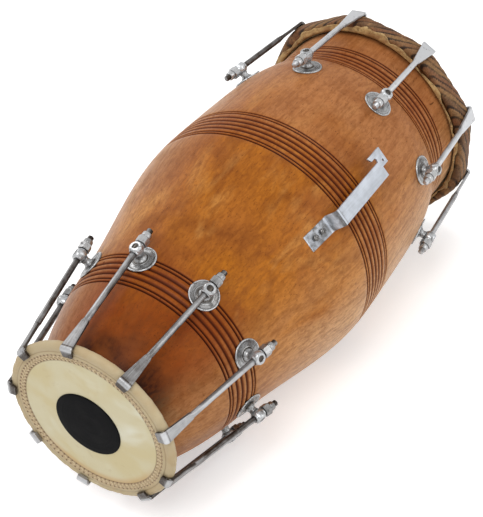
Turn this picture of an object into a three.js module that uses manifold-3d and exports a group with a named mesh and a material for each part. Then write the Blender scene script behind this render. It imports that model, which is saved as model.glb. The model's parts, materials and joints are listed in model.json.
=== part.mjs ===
// A dholki: a two-headed barrel drum, lying on its side on the belly and the two lowest bass nuts.
// Millimetres, +Z up. The drum's axis runs along X, with the small treble head at the -X end.
// The origin is on the ground under the middle of the drum.

import * as THREE from 'three';
import { mergeVertices } from 'three/addons/utils/BufferGeometryUtils.js';
import Module from 'manifold-3d';

const wasm = await Module();
wasm.setup();

// Driving sizes. A station is a distance along the axis, counted from the treble face.

const fit = 0.3; // clearance between pieces that seat on or run in each other
const overrun = 1; // how far a cutter passes the face that it opens

const shell = {
  length: 442.4,
  wall: 12,
  lipWall: 8,
  lipDepth: 18,
  trebleMouthRadius: 54.2,
  bellyRadius: 110,
  bassMouthRadius: 90,
  bellyStation: 245,
  facets: 36,
};

// The outline between each mouth and the belly, as [share of the way, share of the swell].
const trebleSwellShares = [
  [0, 0], [0.1, 0.185], [0.2, 0.34], [0.3, 0.455], [0.4, 0.535],
  [0.5, 0.61], [0.6, 0.705], [0.7, 0.81], [0.8, 0.907], [0.9, 0.977],
];
const bassSwellShares = [
  [1, 0], [0.84, 0.01], [0.76, 0.055], [0.7, 0.21], [0.64, 0.39],
  [0.57, 0.56], [0.46, 0.71], [0.34, 0.81], [0.2, 0.9],
];

// The three bands of turned grooves. The pair of fine lines at each edge of a band is cut as one.
// Each band is placed from the end or the belly that it goes with, and so are the lugs and the hook.
const grooves = { width: 2.8, depth: 0.9 };
const trebleBand = { fromFace: 75.5, width: 25, count: 5 };
const bellyBand = { beforeBelly: 7.5, width: 31.5, count: 7 };
const bassBand = { fromFace: 64.3, width: 26, count: 6 };

const trebleHead = {
  skinThick: 1,
  stitchOut: 5.8,
  stitchRise: 0.6,
  rimOut: 21,
  rimFlatOut: 16.3,
  rimDepth: 9,
  rimWideStation: 5,
  rimBackRound: 3,
};

const paste = { radius: 29.4, thick: 1.3, domeInset: 5, edgeThick: 0.7 };

const bassHead = {
  skinThick: 1.2,
  lapLoose: 0.7,
  lapThick: 1.3,
  flapLength: 3.5,
  flapFlare: 4.5,
};

const bassRim = { thick: 10.9, depth: 21.5, round: 3.6 };

// Degrees from the top line. The fifth treble lug is set nearer to the fourth.
const trebleTurns = [0, 40, 80, 120, 150, 200, 240, 280, 320];
const bassTurns = [0, 40, 80, 120, 160, 200, 240, 280, 320];

const lug = {
  washerRadius: 12.6,
  washerEdge: 1.1,
  washerMiddle: 1.7,
  collarRadius: 5,
  collarHeight: 3,
  neckRadius: 3,
  neckHeight: 5.4,
  headRadius: 5.3,
  headTopRadius: 3.4,
  eyeHeight: 11.4,
  headDepthShare: 0.68,
  headTopShare: 0.9,
  shankRadius: 3,
  shankPast: 7,
  innerNutFlats: 10,
  innerNutHeight: 4,
  facets: 10,
};

const rod = {
  radius: 2.5,
  tail: 20.8,
  tailChamfer: 0.6,
  barThick: 2.6,
  barChamfer: 0.5,
  bendRadius: 3,
  flareRun: 4,
  tipThick: 2.2,
  sides: 8,
  bendSteps: 3,
};

const nut = { flats: 8.9, hexLength: 6.2, collarRadius: 3.9, collarLength: 4.8, sides: 8 };

// What differs between the two ends.
const trebleEnd = { turns: trebleTurns, seatFromFace: 99, flareLength: 29, barWidth: 10.8, tipWidth: 9.2, tipLength: 7.4 };
const bassEnd = { turns: bassTurns, seatFromFace: 90.3, flareLength: 31, barWidth: 13.8, tipWidth: 11.4, tipLength: 8.6 };

const strap = {
  angle: 59,
  footBeforeBelly: 53,
  footLength: 27.5,
  riserRun: 1.5,
  plateHeight: 12.5,
  plateLength: 82,
  plateDip: 2.5,
  width: 14.4,
  thick: 2,
  tipLength: 8.4,
  tipShift: 8.6,
  barbLength: 19,
  barbWidth: 4.3,
  barbSlant: 2.5,
  slotLength: 10,
  slotSlant: 1.4,
  holeRadius: 1.1,
};

const strapScrew = {
  headRadius: 2.6, headHeight: 1.1, slotWidth: 0.8, slotDepth: 0.6, fromFootEnd: 8.5, spacing: 8.6,
  shankRadius: 1.3, shankLength: 9, facets: 8,
};

// Places that follow from the sizes.

const shellStart = trebleHead.stitchRise + trebleHead.skinThick + fit;
const shellEnd = shellStart + shell.length;
const bassFace = shellEnd + fit + bassHead.skinThick;
const facetTurn = (2 * Math.PI) / shell.facets;
const facetFlat = Math.cos(facetTurn / 2);
const boreAcross = 1 / Math.cos(Math.PI / rod.sides);

const stitchRadius = shell.trebleMouthRadius + trebleHead.stitchOut;
const rimRadius = shell.trebleMouthRadius + trebleHead.rimOut;
const rimFlatRadius = shell.trebleMouthRadius + trebleHead.rimFlatOut;
const hoopInside = shell.bassMouthRadius + bassHead.lapLoose + bassHead.lapThick + fit;
const hoopOutside = hoopInside + bassRim.thick;
const trebleSeat = trebleEnd.seatFromFace;
const bassSeat = bassFace - bassEnd.seatFromFace;
const footStation = shell.bellyStation - strap.footBeforeBelly;
const headTop = lug.headRadius * lug.headTopShare;

const bands = [
  { ...trebleBand, start: trebleBand.fromFace },
  { ...bellyBand, start: shell.bellyStation - bellyBand.beforeBelly },
  { ...bassBand, start: bassFace - bassBand.fromFace },
];

const outline = [
  ...trebleSwellShares.map(([way, swell]) => [
    shellStart + way * (shell.bellyStation - shellStart),
    shell.trebleMouthRadius + swell * (shell.bellyRadius - shell.trebleMouthRadius),
  ]),
  [shell.bellyStation, shell.bellyRadius],
  ...bassSwellShares.map(([way, swell]) => [
    shell.bellyStation + way * (shellEnd - shell.bellyStation),
    shell.bassMouthRadius + swell * (shell.bellyRadius - shell.bassMouthRadius),
  ]).reverse(),
];

function outlineSlope(index) {
  const before = outline[Math.max(index - 1, 0)];
  const after = outline[Math.min(index + 1, outline.length - 1)];
  return (after[1] - before[1]) / (after[0] - before[0]);
}

// The shell's outer radius at a station, on a smooth curve through the outline's points.
function shellRadius(station) {
  const last = outline.length - 2;
  const found = outline.findIndex((point) => point[0] > station) - 1;
  const index = found < 0 ? (station < outline[0][0] ? 0 : last) : Math.min(found, last);
  const [s0, r0] = outline[index];
  const [s1, r1] = outline[index + 1];
  const span = s1 - s0;
  const t = THREE.MathUtils.clamp((station - s0) / span, 0, 1);
  const ease = t * t * (3 - 2 * t);
  const pull = outlineSlope(index) * span * t * (1 - t) * (1 - t);
  const push = outlineSlope(index + 1) * span * t * t * (1 - t);
  return r0 + (r1 - r0) * ease + pull - push;
}

function shellSlope(station) {
  return (shellRadius(station + overrun) - shellRadius(station - overrun)) / (2 * overrun);
}

// Solids

function welded(geometry) {
  geometry.deleteAttribute('normal');
  geometry.deleteAttribute('uv');
  return mergeVertices(geometry);
}

function toSolid(geometry) {
  const closed = welded(geometry);
  return new wasm.Manifold(new wasm.Mesh({
    numProp: 3,
    vertProperties: new Float32Array(closed.attributes.position.array),
    triVerts: new Uint32Array(closed.index.array),
  }));
}

function toGeometry(solid) {
  const mesh = solid.getMesh();
  const geometry = new THREE.BufferGeometry();
  geometry.setAttribute('position', new THREE.BufferAttribute(new Float32Array(mesh.vertProperties), 3));
  geometry.setIndex([...mesh.triVerts]);
  geometry.computeVertexNormals();
  return geometry;
}

// Turns a profile of [radius, station] points about the X axis. A half-facet start puts a flat below.
function turnedOnAxis(profile, facets = shell.facets) {
  const points = profile.map(([radius, station]) => new THREE.Vector2(radius, station));
  const geometry = new THREE.LatheGeometry(points, facets, Math.PI / facets);
  geometry.rotateZ(-Math.PI / 2);
  return geometry;
}

// Turns a profile of [radius, height] points about the Z axis.
function turnedUpright(profile, facets) {
  const points = profile.map(([radius, height]) => new THREE.Vector2(radius, height));
  const geometry = new THREE.LatheGeometry(points, facets, Math.PI / facets);
  geometry.rotateX(Math.PI / 2);
  return geometry;
}

// A round or many-sided pin along X, from one place to another.
function pinAlongX(radius, from, to, sides) {
  const geometry = new THREE.CylinderGeometry(radius, radius, to - from, sides);
  geometry.rotateZ(-Math.PI / 2);
  geometry.translate((from + to) / 2, 0, 0);
  return geometry;
}

// A round or many-sided pin along Z, from one height to another.
function pinUpright(radius, from, to, sides) {
  const geometry = new THREE.CylinderGeometry(radius, radius, to - from, sides);
  geometry.rotateX(Math.PI / 2);
  geometry.translate(0, 0, (from + to) / 2);
  return geometry;
}

// Wood shell

function grooveStations(band) {
  const step = band.width / (band.count - 1);
  return Array.from({ length: band.count }, (_, i) => band.start + i * step);
}

function outerProfile() {
  const onSurface = (station) => [shellRadius(station), station];
  const inBand = (station) => bands.some((band) => (
    station > band.start - grooves.width && station < band.start + band.width + grooves.width));
  const body = outline.map((point) => point[0]).filter((station) => !inBand(station)).map(onSurface);
  const cut = bands.flatMap((band) => {
    const stations = grooveStations(band);
    const points = [onSurface(band.start - grooves.width / 2)];
    stations.forEach((station, i) => {
      points.push([shellRadius(station) - grooves.depth, station]);
      const next = stations[i + 1] ?? station + grooves.width;
      points.push(onSurface((station + next) / 2));
    });
    return points;
  });
  return [...body, ...cut].sort((a, b) => a[1] - b[1]);
}

// The inner wall runs straight behind each row of washers, so that the lugs' inner nuts seat flat.
function innerProfile() {
  const inside = [
    trebleSeat - lug.washerRadius,
    trebleSeat + lug.washerRadius,
    (trebleSeat + shell.bellyStation) / 2,
    shell.bellyStation,
    bassSeat - lug.washerRadius,
    bassSeat + lug.washerRadius,
  ];
  const wallAt = (station, wall) => [shellRadius(station) - wall, station];
  return [
    wallAt(shellStart, shell.lipWall),
    wallAt(shellStart + shell.lipDepth, shell.wall),
    ...inside.map((station) => wallAt(station, shell.wall)),
    wallAt(shellEnd - shell.lipDepth, shell.wall),
    wallAt(shellEnd, shell.lipWall),
  ];
}

function shellGeometry(units) {
  const inner = innerProfile();
  const profile = [inner[0], ...outerProfile(), ...inner.reverse()];
  const holes = [];
  for (const unit of units) {
    for (const turn of unit.turns) {
      const hole = pinUpright(
        (lug.shankRadius + fit) / Math.cos(Math.PI / lug.facets),
        -unit.wallDepth - lug.shankPast, lug.headRadius, lug.facets);
      hole.rotateZ(Math.PI / lug.facets);
      hole.applyMatrix4(unit.seatMatrix(turn));
      holes.push(toSolid(hole));
    }
  }
  for (const place of [0, 1]) {
    const hole = pinUpright(
      (strapScrew.shankRadius + fit) / Math.cos(Math.PI / strapScrew.facets),
      -strapScrew.shankLength - fit, overrun, strapScrew.facets);
    hole.applyMatrix4(strapScrewMatrix(place));
    hole.applyMatrix4(new THREE.Matrix4().makeRotationX(strapTurn));
    holes.push(toSolid(hole));
  }
  return toGeometry(toSolid(turnedOnAxis(profile)).subtract(wasm.Manifold.union(holes)));
}

// Heads

function trebleHeadGeometry() {
  const head = trebleHead;
  const lapRadius = shellRadius(head.rimDepth) + fit + head.skinThick;
  return welded(turnedOnAxis([
    [0, head.stitchRise],
    [stitchRadius - 2 * head.skinThick, head.stitchRise],
    [stitchRadius, 0],
    [rimFlatRadius, 0],
    [(rimFlatRadius + rimRadius) / 2, head.rimWideStation / 4],
    [rimRadius, head.rimWideStation],
    [rimRadius - head.rimBackRound / 4, head.rimDepth - head.rimBackRound],
    [rimRadius - head.rimBackRound, head.rimDepth],
    [lapRadius, head.rimDepth],
    [lapRadius, head.stitchRise + head.skinThick],
    [0, head.stitchRise + head.skinThick],
  ]));
}

function pasteGeometry() {
  const back = trebleHead.stitchRise - fit;
  return welded(turnedOnAxis([
    [0, back - paste.thick],
    [paste.radius - paste.domeInset, back - paste.thick],
    [paste.radius, back - paste.edgeThick],
    [paste.radius, back],
    [0, back],
  ]));
}

function bassHeadGeometry() {
  const inside = shell.bassMouthRadius + bassHead.lapLoose;
  const outside = inside + bassHead.lapThick;
  const rimBack = bassFace - bassRim.depth;
  const flapEnd = rimBack - fit - bassHead.flapLength;
  return welded(turnedOnAxis([
    [0, bassFace - bassHead.skinThick],
    [inside, bassFace - bassHead.skinThick],
    [inside, rimBack],
    [inside + bassHead.flapFlare / 2, flapEnd],
    [outside + bassHead.flapFlare, flapEnd],
    [outside, rimBack],
    [outside, bassFace],
    [0, bassFace],
  ]));
}

function bassRimGeometry() {
  const back = bassFace - bassRim.depth;
  const round = bassRim.round;
  return welded(turnedOnAxis([
    [hoopInside, back + round / 2],
    [hoopInside + round / 2, back],
    [hoopOutside - round, back],
    [hoopOutside, back + round],
    [hoopOutside, bassFace - round],
    [hoopOutside - round, bassFace],
    [hoopInside + round / 2, bassFace],
    [hoopInside, bassFace - round / 2],
    [hoopInside, back + round / 2],
  ]));
}

// Tuning hardware. Each unit is laid out in the plane through the drum's axis, with x running from
// the washer's seat towards the head and z running outwards from the axis.

function tuningUnit(end, towardsHead, seatStation, rimStation, rimOutside) {
  const slope = shellSlope(seatStation) * towardsHead;
  const normal = new THREE.Vector2(-slope, 1).normalize();
  const seat = new THREE.Vector2(0, shellRadius(seatStation) * facetFlat)
    .addScaledVector(normal, fit);
  const eye = seat.clone().addScaledVector(normal, lug.eyeHeight);
  const innerWall = (shellRadius(seatStation - lug.washerRadius)
    + shellRadius(seatStation + lug.washerRadius)) / 2 - shell.wall;
  const overRim = new THREE.Vector2(
    Math.abs(rimStation - seatStation), rimOutside + 1.5 * fit + rod.barThick / 2);
  const pull = overRim.clone().sub(eye).normalize();
  const tipPlane = end.seatFromFace + fit + rod.barThick / 2;
  const reach = (tipPlane - eye.x) / pull.x;
  const turns = end.turns.map((turn) => THREE.MathUtils.degToRad(turn));
  const frame = (turn) => new THREE.Matrix4().makeRotationX(turn)
    .multiply(new THREE.Matrix4().makeTranslation(seatStation, 0, 0))
    .multiply(new THREE.Matrix4().makeRotationZ(towardsHead > 0 ? 0 : Math.PI));
  const placed = (turn, point, lean) => frame(turn)
    .multiply(new THREE.Matrix4().makeTranslation(point.x, 0, point.y))
    .multiply(new THREE.Matrix4().makeRotationY(lean));
  const seatLean = Math.atan2(normal.x, normal.y);
  const rodLean = -Math.atan2(pull.y, pull.x);
  return {
    end,
    eye,
    reach,
    turns,
    wallDepth: seat.y - innerWall * facetFlat,
    rodLean,
    seatLean,
    seatMatrix: (turn) => placed(turn, seat, seatLean),
    rodMatrix: (turn) => placed(turn, eye, rodLean),
    eyeStation: seatStation + towardsHead * eye.x,
  };
}

function lugGeometry(unit) {
  const below = -unit.wallDepth - lug.shankPast;
  const headDepth = lug.headRadius * lug.headDepthShare;
  const post = turnedUpright([
    [0, below],
    [lug.shankRadius, below],
    [lug.shankRadius, 0],
    [lug.washerRadius, 0],
    [lug.washerRadius, lug.washerEdge],
    [lug.collarRadius, lug.washerMiddle],
    [lug.collarRadius, lug.collarHeight],
    [lug.neckRadius, lug.neckHeight],
    [headTop, lug.eyeHeight - headDepth],
    [lug.headRadius, lug.eyeHeight],
    [lug.headTopRadius, lug.eyeHeight + headTop],
    [0, lug.eyeHeight + headTop],
  ], lug.facets);
  const nutTop = -unit.wallDepth - fit;
  const nutRadius = lug.innerNutFlats / 2 / Math.cos(Math.PI / 6);
  const innerNut = pinUpright(nutRadius, nutTop - lug.innerNutHeight, nutTop, 6);
  const hole = pinAlongX(
    (rod.radius + fit) * boreAcross, -lug.headRadius - overrun, lug.headRadius + overrun, rod.sides);
  hole.rotateX(Math.PI / rod.sides);
  hole.rotateY(unit.rodLean - unit.seatLean);
  hole.translate(0, 0, lug.eyeHeight);
  return toGeometry(toSolid(post).add(toSolid(innerNut)).subtract(toSolid(hole)));
}

// One ring of the rod's skin: an octagon whose cut corners grow into a round or shrink into a bar.
function ring(halfWidth, halfThick, corner) {
  return [
    [halfWidth, corner - halfThick], [halfWidth, halfThick - corner],
    [halfWidth - corner, halfThick], [corner - halfWidth, halfThick],
    [-halfWidth, halfThick - corner], [-halfWidth, corner - halfThick],
    [corner - halfWidth, -halfThick], [halfWidth - corner, -halfThick],
  ];
}

function roundRing(radius) {
  const flat = radius * Math.cos(Math.PI / rod.sides);
  return ring(flat, flat, flat - radius * Math.sin(Math.PI / rod.sides));
}

function barRing(width, thick) {
  return ring(width / 2, thick / 2, rod.barChamfer);
}

// The rod with its flattened hook, from the eye's middle, with its pull along X and outwards along Z.
function rodGeometry(unit) {
  const { end, reach, rodLean } = unit;
  const inward = new THREE.Vector2(Math.sin(rodLean), -Math.cos(rodLean));
  const bendTurn = Math.PI / 2 - rodLean;
  const trim = rod.bendRadius * Math.tan(bendTurn / 2);
  const bendStart = reach - trim;
  const flareStart = reach - end.flareLength;
  const sections = [];
  const along = (x, points) => sections.push({ centre: [x, 0], heading: 0, points });
  along(-rod.tail, roundRing(rod.radius - rod.tailChamfer));
  along(-rod.tail + rod.tailChamfer, roundRing(rod.radius));
  along(flareStart, roundRing(rod.radius));
  along(flareStart + rod.flareRun, barRing(2 * rod.radius, rod.barThick + rod.barChamfer));
  along(bendStart, barRing(end.barWidth, rod.barThick));
  for (let i = 1; i <= rod.bendSteps; i += 1) {
    const heading = (bendTurn * i) / rod.bendSteps;
    sections.push({
      centre: [
        bendStart + rod.bendRadius * Math.sin(heading),
        -rod.bendRadius * (1 - Math.cos(heading)),
      ],
      heading,
      points: barRing(end.barWidth, rod.barThick),
    });
  }
  sections.push({
    centre: [reach + inward.x * end.tipLength, inward.y * end.tipLength],
    heading: bendTurn,
    points: barRing(end.tipWidth, rod.tipThick),
  });
  const position = [];
  for (const { centre, heading, points } of sections) {
    for (const [across, out] of points) {
      position.push(centre[0] + out * Math.sin(heading), across, centre[1] + out * Math.cos(heading));
    }
  }
  const index = [];
  const sides = rod.sides;
  for (let s = 0; s < sections.length - 1; s += 1) {
    for (let i = 0; i < sides; i += 1) {
      const a = s * sides + i;
      const b = s * sides + ((i + 1) % sides);
      index.push(a, b, a + sides, b, b + sides, a + sides);
    }
  }
  const lastRing = (sections.length - 1) * sides;
  for (let i = 1; i < sides - 1; i += 1) {
    index.push(0, i + 1, i);
    index.push(lastRing, lastRing + i, lastRing + i + 1);
  }
  const geometry = new THREE.BufferGeometry();
  geometry.setAttribute('position', new THREE.Float32BufferAttribute(position, 3));
  geometry.setIndex(index);
  geometry.computeVertexNormals();
  return geometry;
}

function nutGeometry() {
  const face = -lug.headRadius - fit;
  const shoulder = face - nut.hexLength;
  const hex = toSolid(pinAlongX(nut.flats / 2 / Math.cos(Math.PI / 6), shoulder, face, 6));
  const collar = pinAlongX(nut.collarRadius, shoulder - nut.collarLength, shoulder + fit, nut.sides);
  collar.rotateX(Math.PI / nut.sides);
  const bore = pinAlongX(
    (rod.radius + fit) * boreAcross,
    shoulder - nut.collarLength - overrun, face + overrun, rod.sides);
  bore.rotateX(Math.PI / rod.sides);
  return toGeometry(hex.add(toSolid(collar)).subtract(toSolid(bore)));
}

// Strap hook: a strip bent up from a screwed foot, with a barbed end that holds a strap's ring.

const strapTurn = THREE.MathUtils.degToRad(strap.angle);
const footMiddle = footStation + strap.footLength / 2;
const footSlope = shellSlope(footMiddle);

function footHeight(station) {
  return shellRadius(footMiddle) * facetFlat + 1.5 * fit + footSlope * (station - footMiddle);
}

function strapScrewMatrix(place) {
  const station = footStation + strapScrew.fromFootEnd + place * strapScrew.spacing;
  return new THREE.Matrix4()
    .makeTranslation(station, 0, footHeight(station))
    .multiply(new THREE.Matrix4().makeRotationY(-Math.atan(footSlope)));
}

function strapProfile() {
  const footEnd = footStation + strap.footLength;
  const plateStart = footEnd + strap.riserRun;
  const plateEnd = plateStart + strap.plateLength;
  const plateZ = footHeight(footEnd) + strap.plateHeight;
  const path = [
    new THREE.Vector2(footStation, footHeight(footStation)),
    new THREE.Vector2(footEnd, footHeight(footEnd)),
    new THREE.Vector2(plateStart, plateZ),
    new THREE.Vector2(plateEnd, plateZ - strap.plateDip),
  ];
  const lower = path;
  const upper = path.map((point, i) => {
    const before = path[Math.max(i - 1, 0)];
    const after = path[Math.min(i + 1, path.length - 1)];
    const into = point.clone().sub(before).normalize();
    const out = after.clone().sub(point).normalize();
    if (i === 0) into.copy(out);
    if (i === path.length - 1) out.copy(into);
    const normal = new THREE.Vector2(-into.y - out.y, into.x + out.x).normalize();
    const mitre = strap.thick / (normal.x * -into.y + normal.y * into.x);
    return point.clone().addScaledVector(normal, mitre);
  });
  return { points: [...lower, ...upper.reverse()], plateEnd, plateZ };
}

function strapPlan(plateEnd) {
  const half = strap.width / 2;
  const start = footStation - overrun - strap.thick;
  const tip = plateEnd;
  const shoulder = tip - strap.tipLength;
  const barbTop = half + strap.tipShift;
  const barbInner = barbTop - strap.barbWidth;
  return [
    [start, -half],
    [shoulder, -half],
    [shoulder, barbTop - strap.width],
    [tip + overrun, barbTop - strap.width],
    [tip + overrun, barbTop],
    [tip - strap.barbLength, barbTop],
    [tip - strap.barbLength + strap.barbSlant, barbInner],
    [tip - strap.slotLength - strap.slotSlant, barbInner],
    [tip - strap.slotLength, (barbInner + half) / 2],
    [tip - strap.slotLength - strap.slotSlant / 2, half],
    [start, half],
  ].map(([x, y]) => new THREE.Vector2(x, y));
}

function strapHookGeometry() {
  const { points, plateEnd, plateZ } = strapProfile();
  const reachAcross = strap.width + strap.tipShift + overrun;
  const side = new THREE.ExtrudeGeometry(new THREE.Shape(points), {
    depth: 2 * reachAcross, bevelEnabled: false,
  });
  side.rotateX(Math.PI / 2);
  side.translate(0, reachAcross, 0);
  const floor = shell.trebleMouthRadius;
  const plan = new THREE.ExtrudeGeometry(new THREE.Shape(strapPlan(plateEnd)), {
    depth: plateZ - floor + strap.plateHeight, bevelEnabled: false,
  });
  plan.translate(0, 0, floor);
  let hook = toSolid(side).intersect(toSolid(plan));
  const hole = pinUpright(strap.holeRadius, floor, plateZ + strap.plateHeight, strapScrew.facets);
  hole.translate(plateEnd - strap.tipLength / 2, strap.tipShift / 2 + strap.holeRadius, 0);
  hook = hook.subtract(toSolid(hole));
  for (const place of [0, 1]) {
    const head = pinUpright(
      strapScrew.headRadius, strap.thick - fit, strap.thick + strapScrew.headHeight, strapScrew.facets);
    const shank = pinUpright(
      strapScrew.shankRadius, -strapScrew.shankLength, strap.thick, strapScrew.facets);
    const slot = new THREE.BoxGeometry(
      strapScrew.slotWidth, 2 * strapScrew.headRadius + overrun, 2 * strapScrew.slotDepth);
    slot.translate(0, 0, strap.thick + strapScrew.headHeight);
    const screw = toSolid(head).add(toSolid(shank)).subtract(toSolid(slot));
    hook = hook.add(screw.transform(strapScrewMatrix(place).toArray()));
  }
  return toGeometry(hook);
}

// Materials

function finish(color, roughness, metalness) {
  return new THREE.MeshStandardMaterial({ color, roughness, metalness });
}

const wood = () => finish(0xb9773c, 0.38, 0);
const parchment = () => finish(0xd9d0ae, 0.7, 0);
const blackPaste = () => finish(0x17171a, 0.85, 0);
const hide = () => finish(0x6e5540, 0.8, 0);
const platedSteel = () => finish(0xb4b6b8, 0.3, 1);
const rodSteel = () => finish(0xa3a19c, 0.36, 1);
const nutSteel = () => finish(0xbfc0c1, 0.28, 1);

// Assembly

const drum = new THREE.Group();

function addPiece(name, geometry, material, matrix) {
  const mesh = new THREE.Mesh(geometry, material);
  mesh.name = name;
  if (matrix) matrix.decompose(mesh.position, mesh.quaternion, mesh.scale);
  drum.add(mesh);
  return mesh;
}

const trebleUnit = tuningUnit(trebleEnd, -1, trebleSeat, trebleHead.rimWideStation, rimRadius);
const bassUnit = tuningUnit(bassEnd, 1, bassSeat, bassFace - bassRim.round, hoopOutside);

addPiece('shell', shellGeometry([trebleUnit, bassUnit]), wood());
addPiece('treble_head', trebleHeadGeometry(), parchment());
addPiece('tuning_paste', pasteGeometry(), blackPaste());
addPiece('bass_head', bassHeadGeometry(), parchment());
addPiece('bass_rim', bassRimGeometry(), hide());
addPiece('strap_hook', strapHookGeometry(), platedSteel(), new THREE.Matrix4().makeRotationX(strapTurn));

for (const [side, unit] of [['treble', trebleUnit], ['bass', bassUnit]]) {
  const lugShape = lugGeometry(unit);
  const rodShape = rodGeometry(unit);
  const nutShape = nutGeometry();
  unit.turns.forEach((turn, i) => {
    addPiece(`${side}_lug_${i + 1}`, lugShape, platedSteel(), unit.seatMatrix(turn));
    addPiece(`${side}_rod_${i + 1}`, rodShape, rodSteel(), unit.rodMatrix(turn));
    addPiece(`${side}_nut_${i + 1}`, nutShape, nutSteel(), unit.rodMatrix(turn));
  });
}

// The drum lies on the belly and on the nuts of the two bass units beside the lowest line.
const nutEnd = lug.headRadius + fit + nut.hexLength;
const nutCorner = nut.flats / 2 / Math.cos(Math.PI / 6);
const nutDrop = (bassUnit.eye.y + nutEnd * Math.sin(bassUnit.rodLean) + nutCorner) * Math.cos(Math.PI - bassUnit.turns[4]);
const nutStation = bassUnit.eyeStation - nutEnd * Math.cos(bassUnit.rodLean);
const bellyDrop = shell.bellyRadius * facetFlat;
drum.rotation.y = -Math.atan((nutDrop - bellyDrop) / (nutStation - shell.bellyStation));

const dholki = new THREE.Group();
dholki.add(drum);
dholki.updateMatrixWorld(true);
const box = new THREE.Box3().setFromObject(dholki, true);
drum.position.set(-(box.min.x + box.max.x) / 2, -(box.min.y + box.max.y) / 2, -box.min.z);

export default dholki;
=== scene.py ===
import json
import math
import random

import bpy
from mathutils import Matrix, Vector


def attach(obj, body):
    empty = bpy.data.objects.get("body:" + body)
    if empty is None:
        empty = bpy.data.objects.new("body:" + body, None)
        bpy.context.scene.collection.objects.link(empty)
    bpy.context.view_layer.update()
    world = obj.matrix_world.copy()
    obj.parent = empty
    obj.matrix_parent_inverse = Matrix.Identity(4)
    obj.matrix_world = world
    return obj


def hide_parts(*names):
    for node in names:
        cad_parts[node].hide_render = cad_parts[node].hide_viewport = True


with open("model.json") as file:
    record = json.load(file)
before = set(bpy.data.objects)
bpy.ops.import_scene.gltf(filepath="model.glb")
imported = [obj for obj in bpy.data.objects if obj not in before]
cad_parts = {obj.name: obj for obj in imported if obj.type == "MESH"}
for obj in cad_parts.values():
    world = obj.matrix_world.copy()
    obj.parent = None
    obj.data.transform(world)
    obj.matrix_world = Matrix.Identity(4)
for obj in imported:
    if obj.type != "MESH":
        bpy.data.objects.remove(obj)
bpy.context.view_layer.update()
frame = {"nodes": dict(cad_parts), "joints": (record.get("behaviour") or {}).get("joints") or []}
print("frame loaded", len(frame["nodes"]), "nodes")

# Sizes are in the drum's own millimetres. A station is the distance along the axis from the treble face.
hingeOf = {joint["child"]: joint for joint in frame["joints"] if joint["type"] == "hinge"}
slideOf = {joint["child"]: joint for joint in frame["joints"] if joint["type"] == "slide"}
sides = ("treble", "bass")
eyesOf = {side: [Vector(hingeOf[f"{side}_nut_{k}"]["pos_m"]) for k in range(1, 10)] for side in sides}
eyeStations = {"treble": 96.965, "bass": 357.389}


def meanOf(points):
    return sum(points, Vector()) / len(points)


# the drum's axes in the frame, from three eyes of each ring, a third of a turn apart
trebleMiddle, bassMiddle = meanOf(eyesOf["treble"][::3]), meanOf(eyesOf["bass"][::3])
alongDrum = (bassMiddle - trebleMiddle).normalized()
upDrum = (eyesOf["treble"][0] - trebleMiddle).normalized()
acrossDrum = upDrum.cross(alongDrum).normalized()
upDrum = alongDrum.cross(acrossDrum)
drumOrigin = trebleMiddle - alongDrum * eyeStations["treble"] / 1000
drumTurn = Matrix((alongDrum, acrossDrum, upDrum)).transposed()
drumPlace = Matrix.Translation(drumOrigin) @ drumTurn.to_4x4() @ Matrix.Scale(0.001, 4)


# Helpers for modelling

def deselect():
    bpy.ops.object.select_all(action="DESELECT")


def choose(*objects):
    deselect()
    for obj in objects:
        obj.select_set(True)
    bpy.context.view_layer.objects.active = objects[0]


def editStart(obj, mode="VERT"):
    choose(obj)
    bpy.ops.object.mode_set(mode="EDIT")
    bpy.ops.mesh.select_mode(type=mode)
    bpy.ops.mesh.select_all(action="SELECT")


def editEnd():
    bpy.ops.object.mode_set(mode="OBJECT")


def pickVerts(obj, wanted):
    bpy.ops.mesh.select_mode(type="VERT")
    bpy.ops.mesh.select_all(action="DESELECT")
    editEnd()
    for vertex in obj.data.vertices:
        vertex.select = bool(wanted(vertex.co))
    bpy.ops.object.mode_set(mode="EDIT")


def startPoint(name, at):
    deselect()
    bpy.ops.mesh.primitive_plane_add(size=1, location=(0, 0, 0))
    obj = bpy.context.object
    obj.name = obj.data.name = name
    editStart(obj)
    bpy.ops.mesh.merge(type="CENTER")
    bpy.ops.transform.translate(value=at)
    return obj


def drawLine(points):
    for before, after in zip(points, points[1:]):
        step = [b - a for a, b in zip(before, after)]
        bpy.ops.mesh.extrude_vertices_move(TRANSFORM_OT_translate={"value": step})


def spinUp(steps, axis):
    bpy.ops.mesh.select_all(action="SELECT")
    bpy.ops.mesh.spin(steps=steps, angle=2 * math.pi, center=(0, 0, 0), axis=axis)
    bpy.ops.mesh.select_all(action="SELECT")
    bpy.ops.mesh.remove_doubles(threshold=0.0005)
    bpy.ops.mesh.normals_make_consistent(inside=False)
    editEnd()


def turnOutwards(obj):
    editStart(obj)
    bpy.ops.mesh.normals_make_consistent(inside=False)
    editEnd()


# moves a point away from the drum's axis by a share of its distance
def liftPoint(vertex, share):
    for axis in (1, 2):
        vertex.co[axis] *= 1 + share


# A turned piece: the outline is a list of (distance along the axis, radius).
def turned(name, outline, steps, upright=False):
    points = [(r, 0, a) if upright else (a, 0, r) for a, r in outline]
    obj = startPoint(name, points[0])
    drawLine(points)
    spinUp(steps, (0, 0, 1) if upright else (1, 0, 0))
    return obj


def applyAll(obj):
    choose(obj)
    for modifier in list(obj.modifiers):
        bpy.ops.object.modifier_apply(modifier=modifier.name)


def addModifier(obj, kind, **settings):
    modifier = obj.modifiers.new(kind.lower(), kind)
    for name, value in settings.items():
        setattr(modifier, name, value)
    return modifier


def cutWith(obj, cutter, operation="DIFFERENCE"):
    addModifier(obj, "BOOLEAN", object=cutter, operation=operation, solver="EXACT")
    applyAll(obj)
    bpy.data.objects.remove(cutter)


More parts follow.
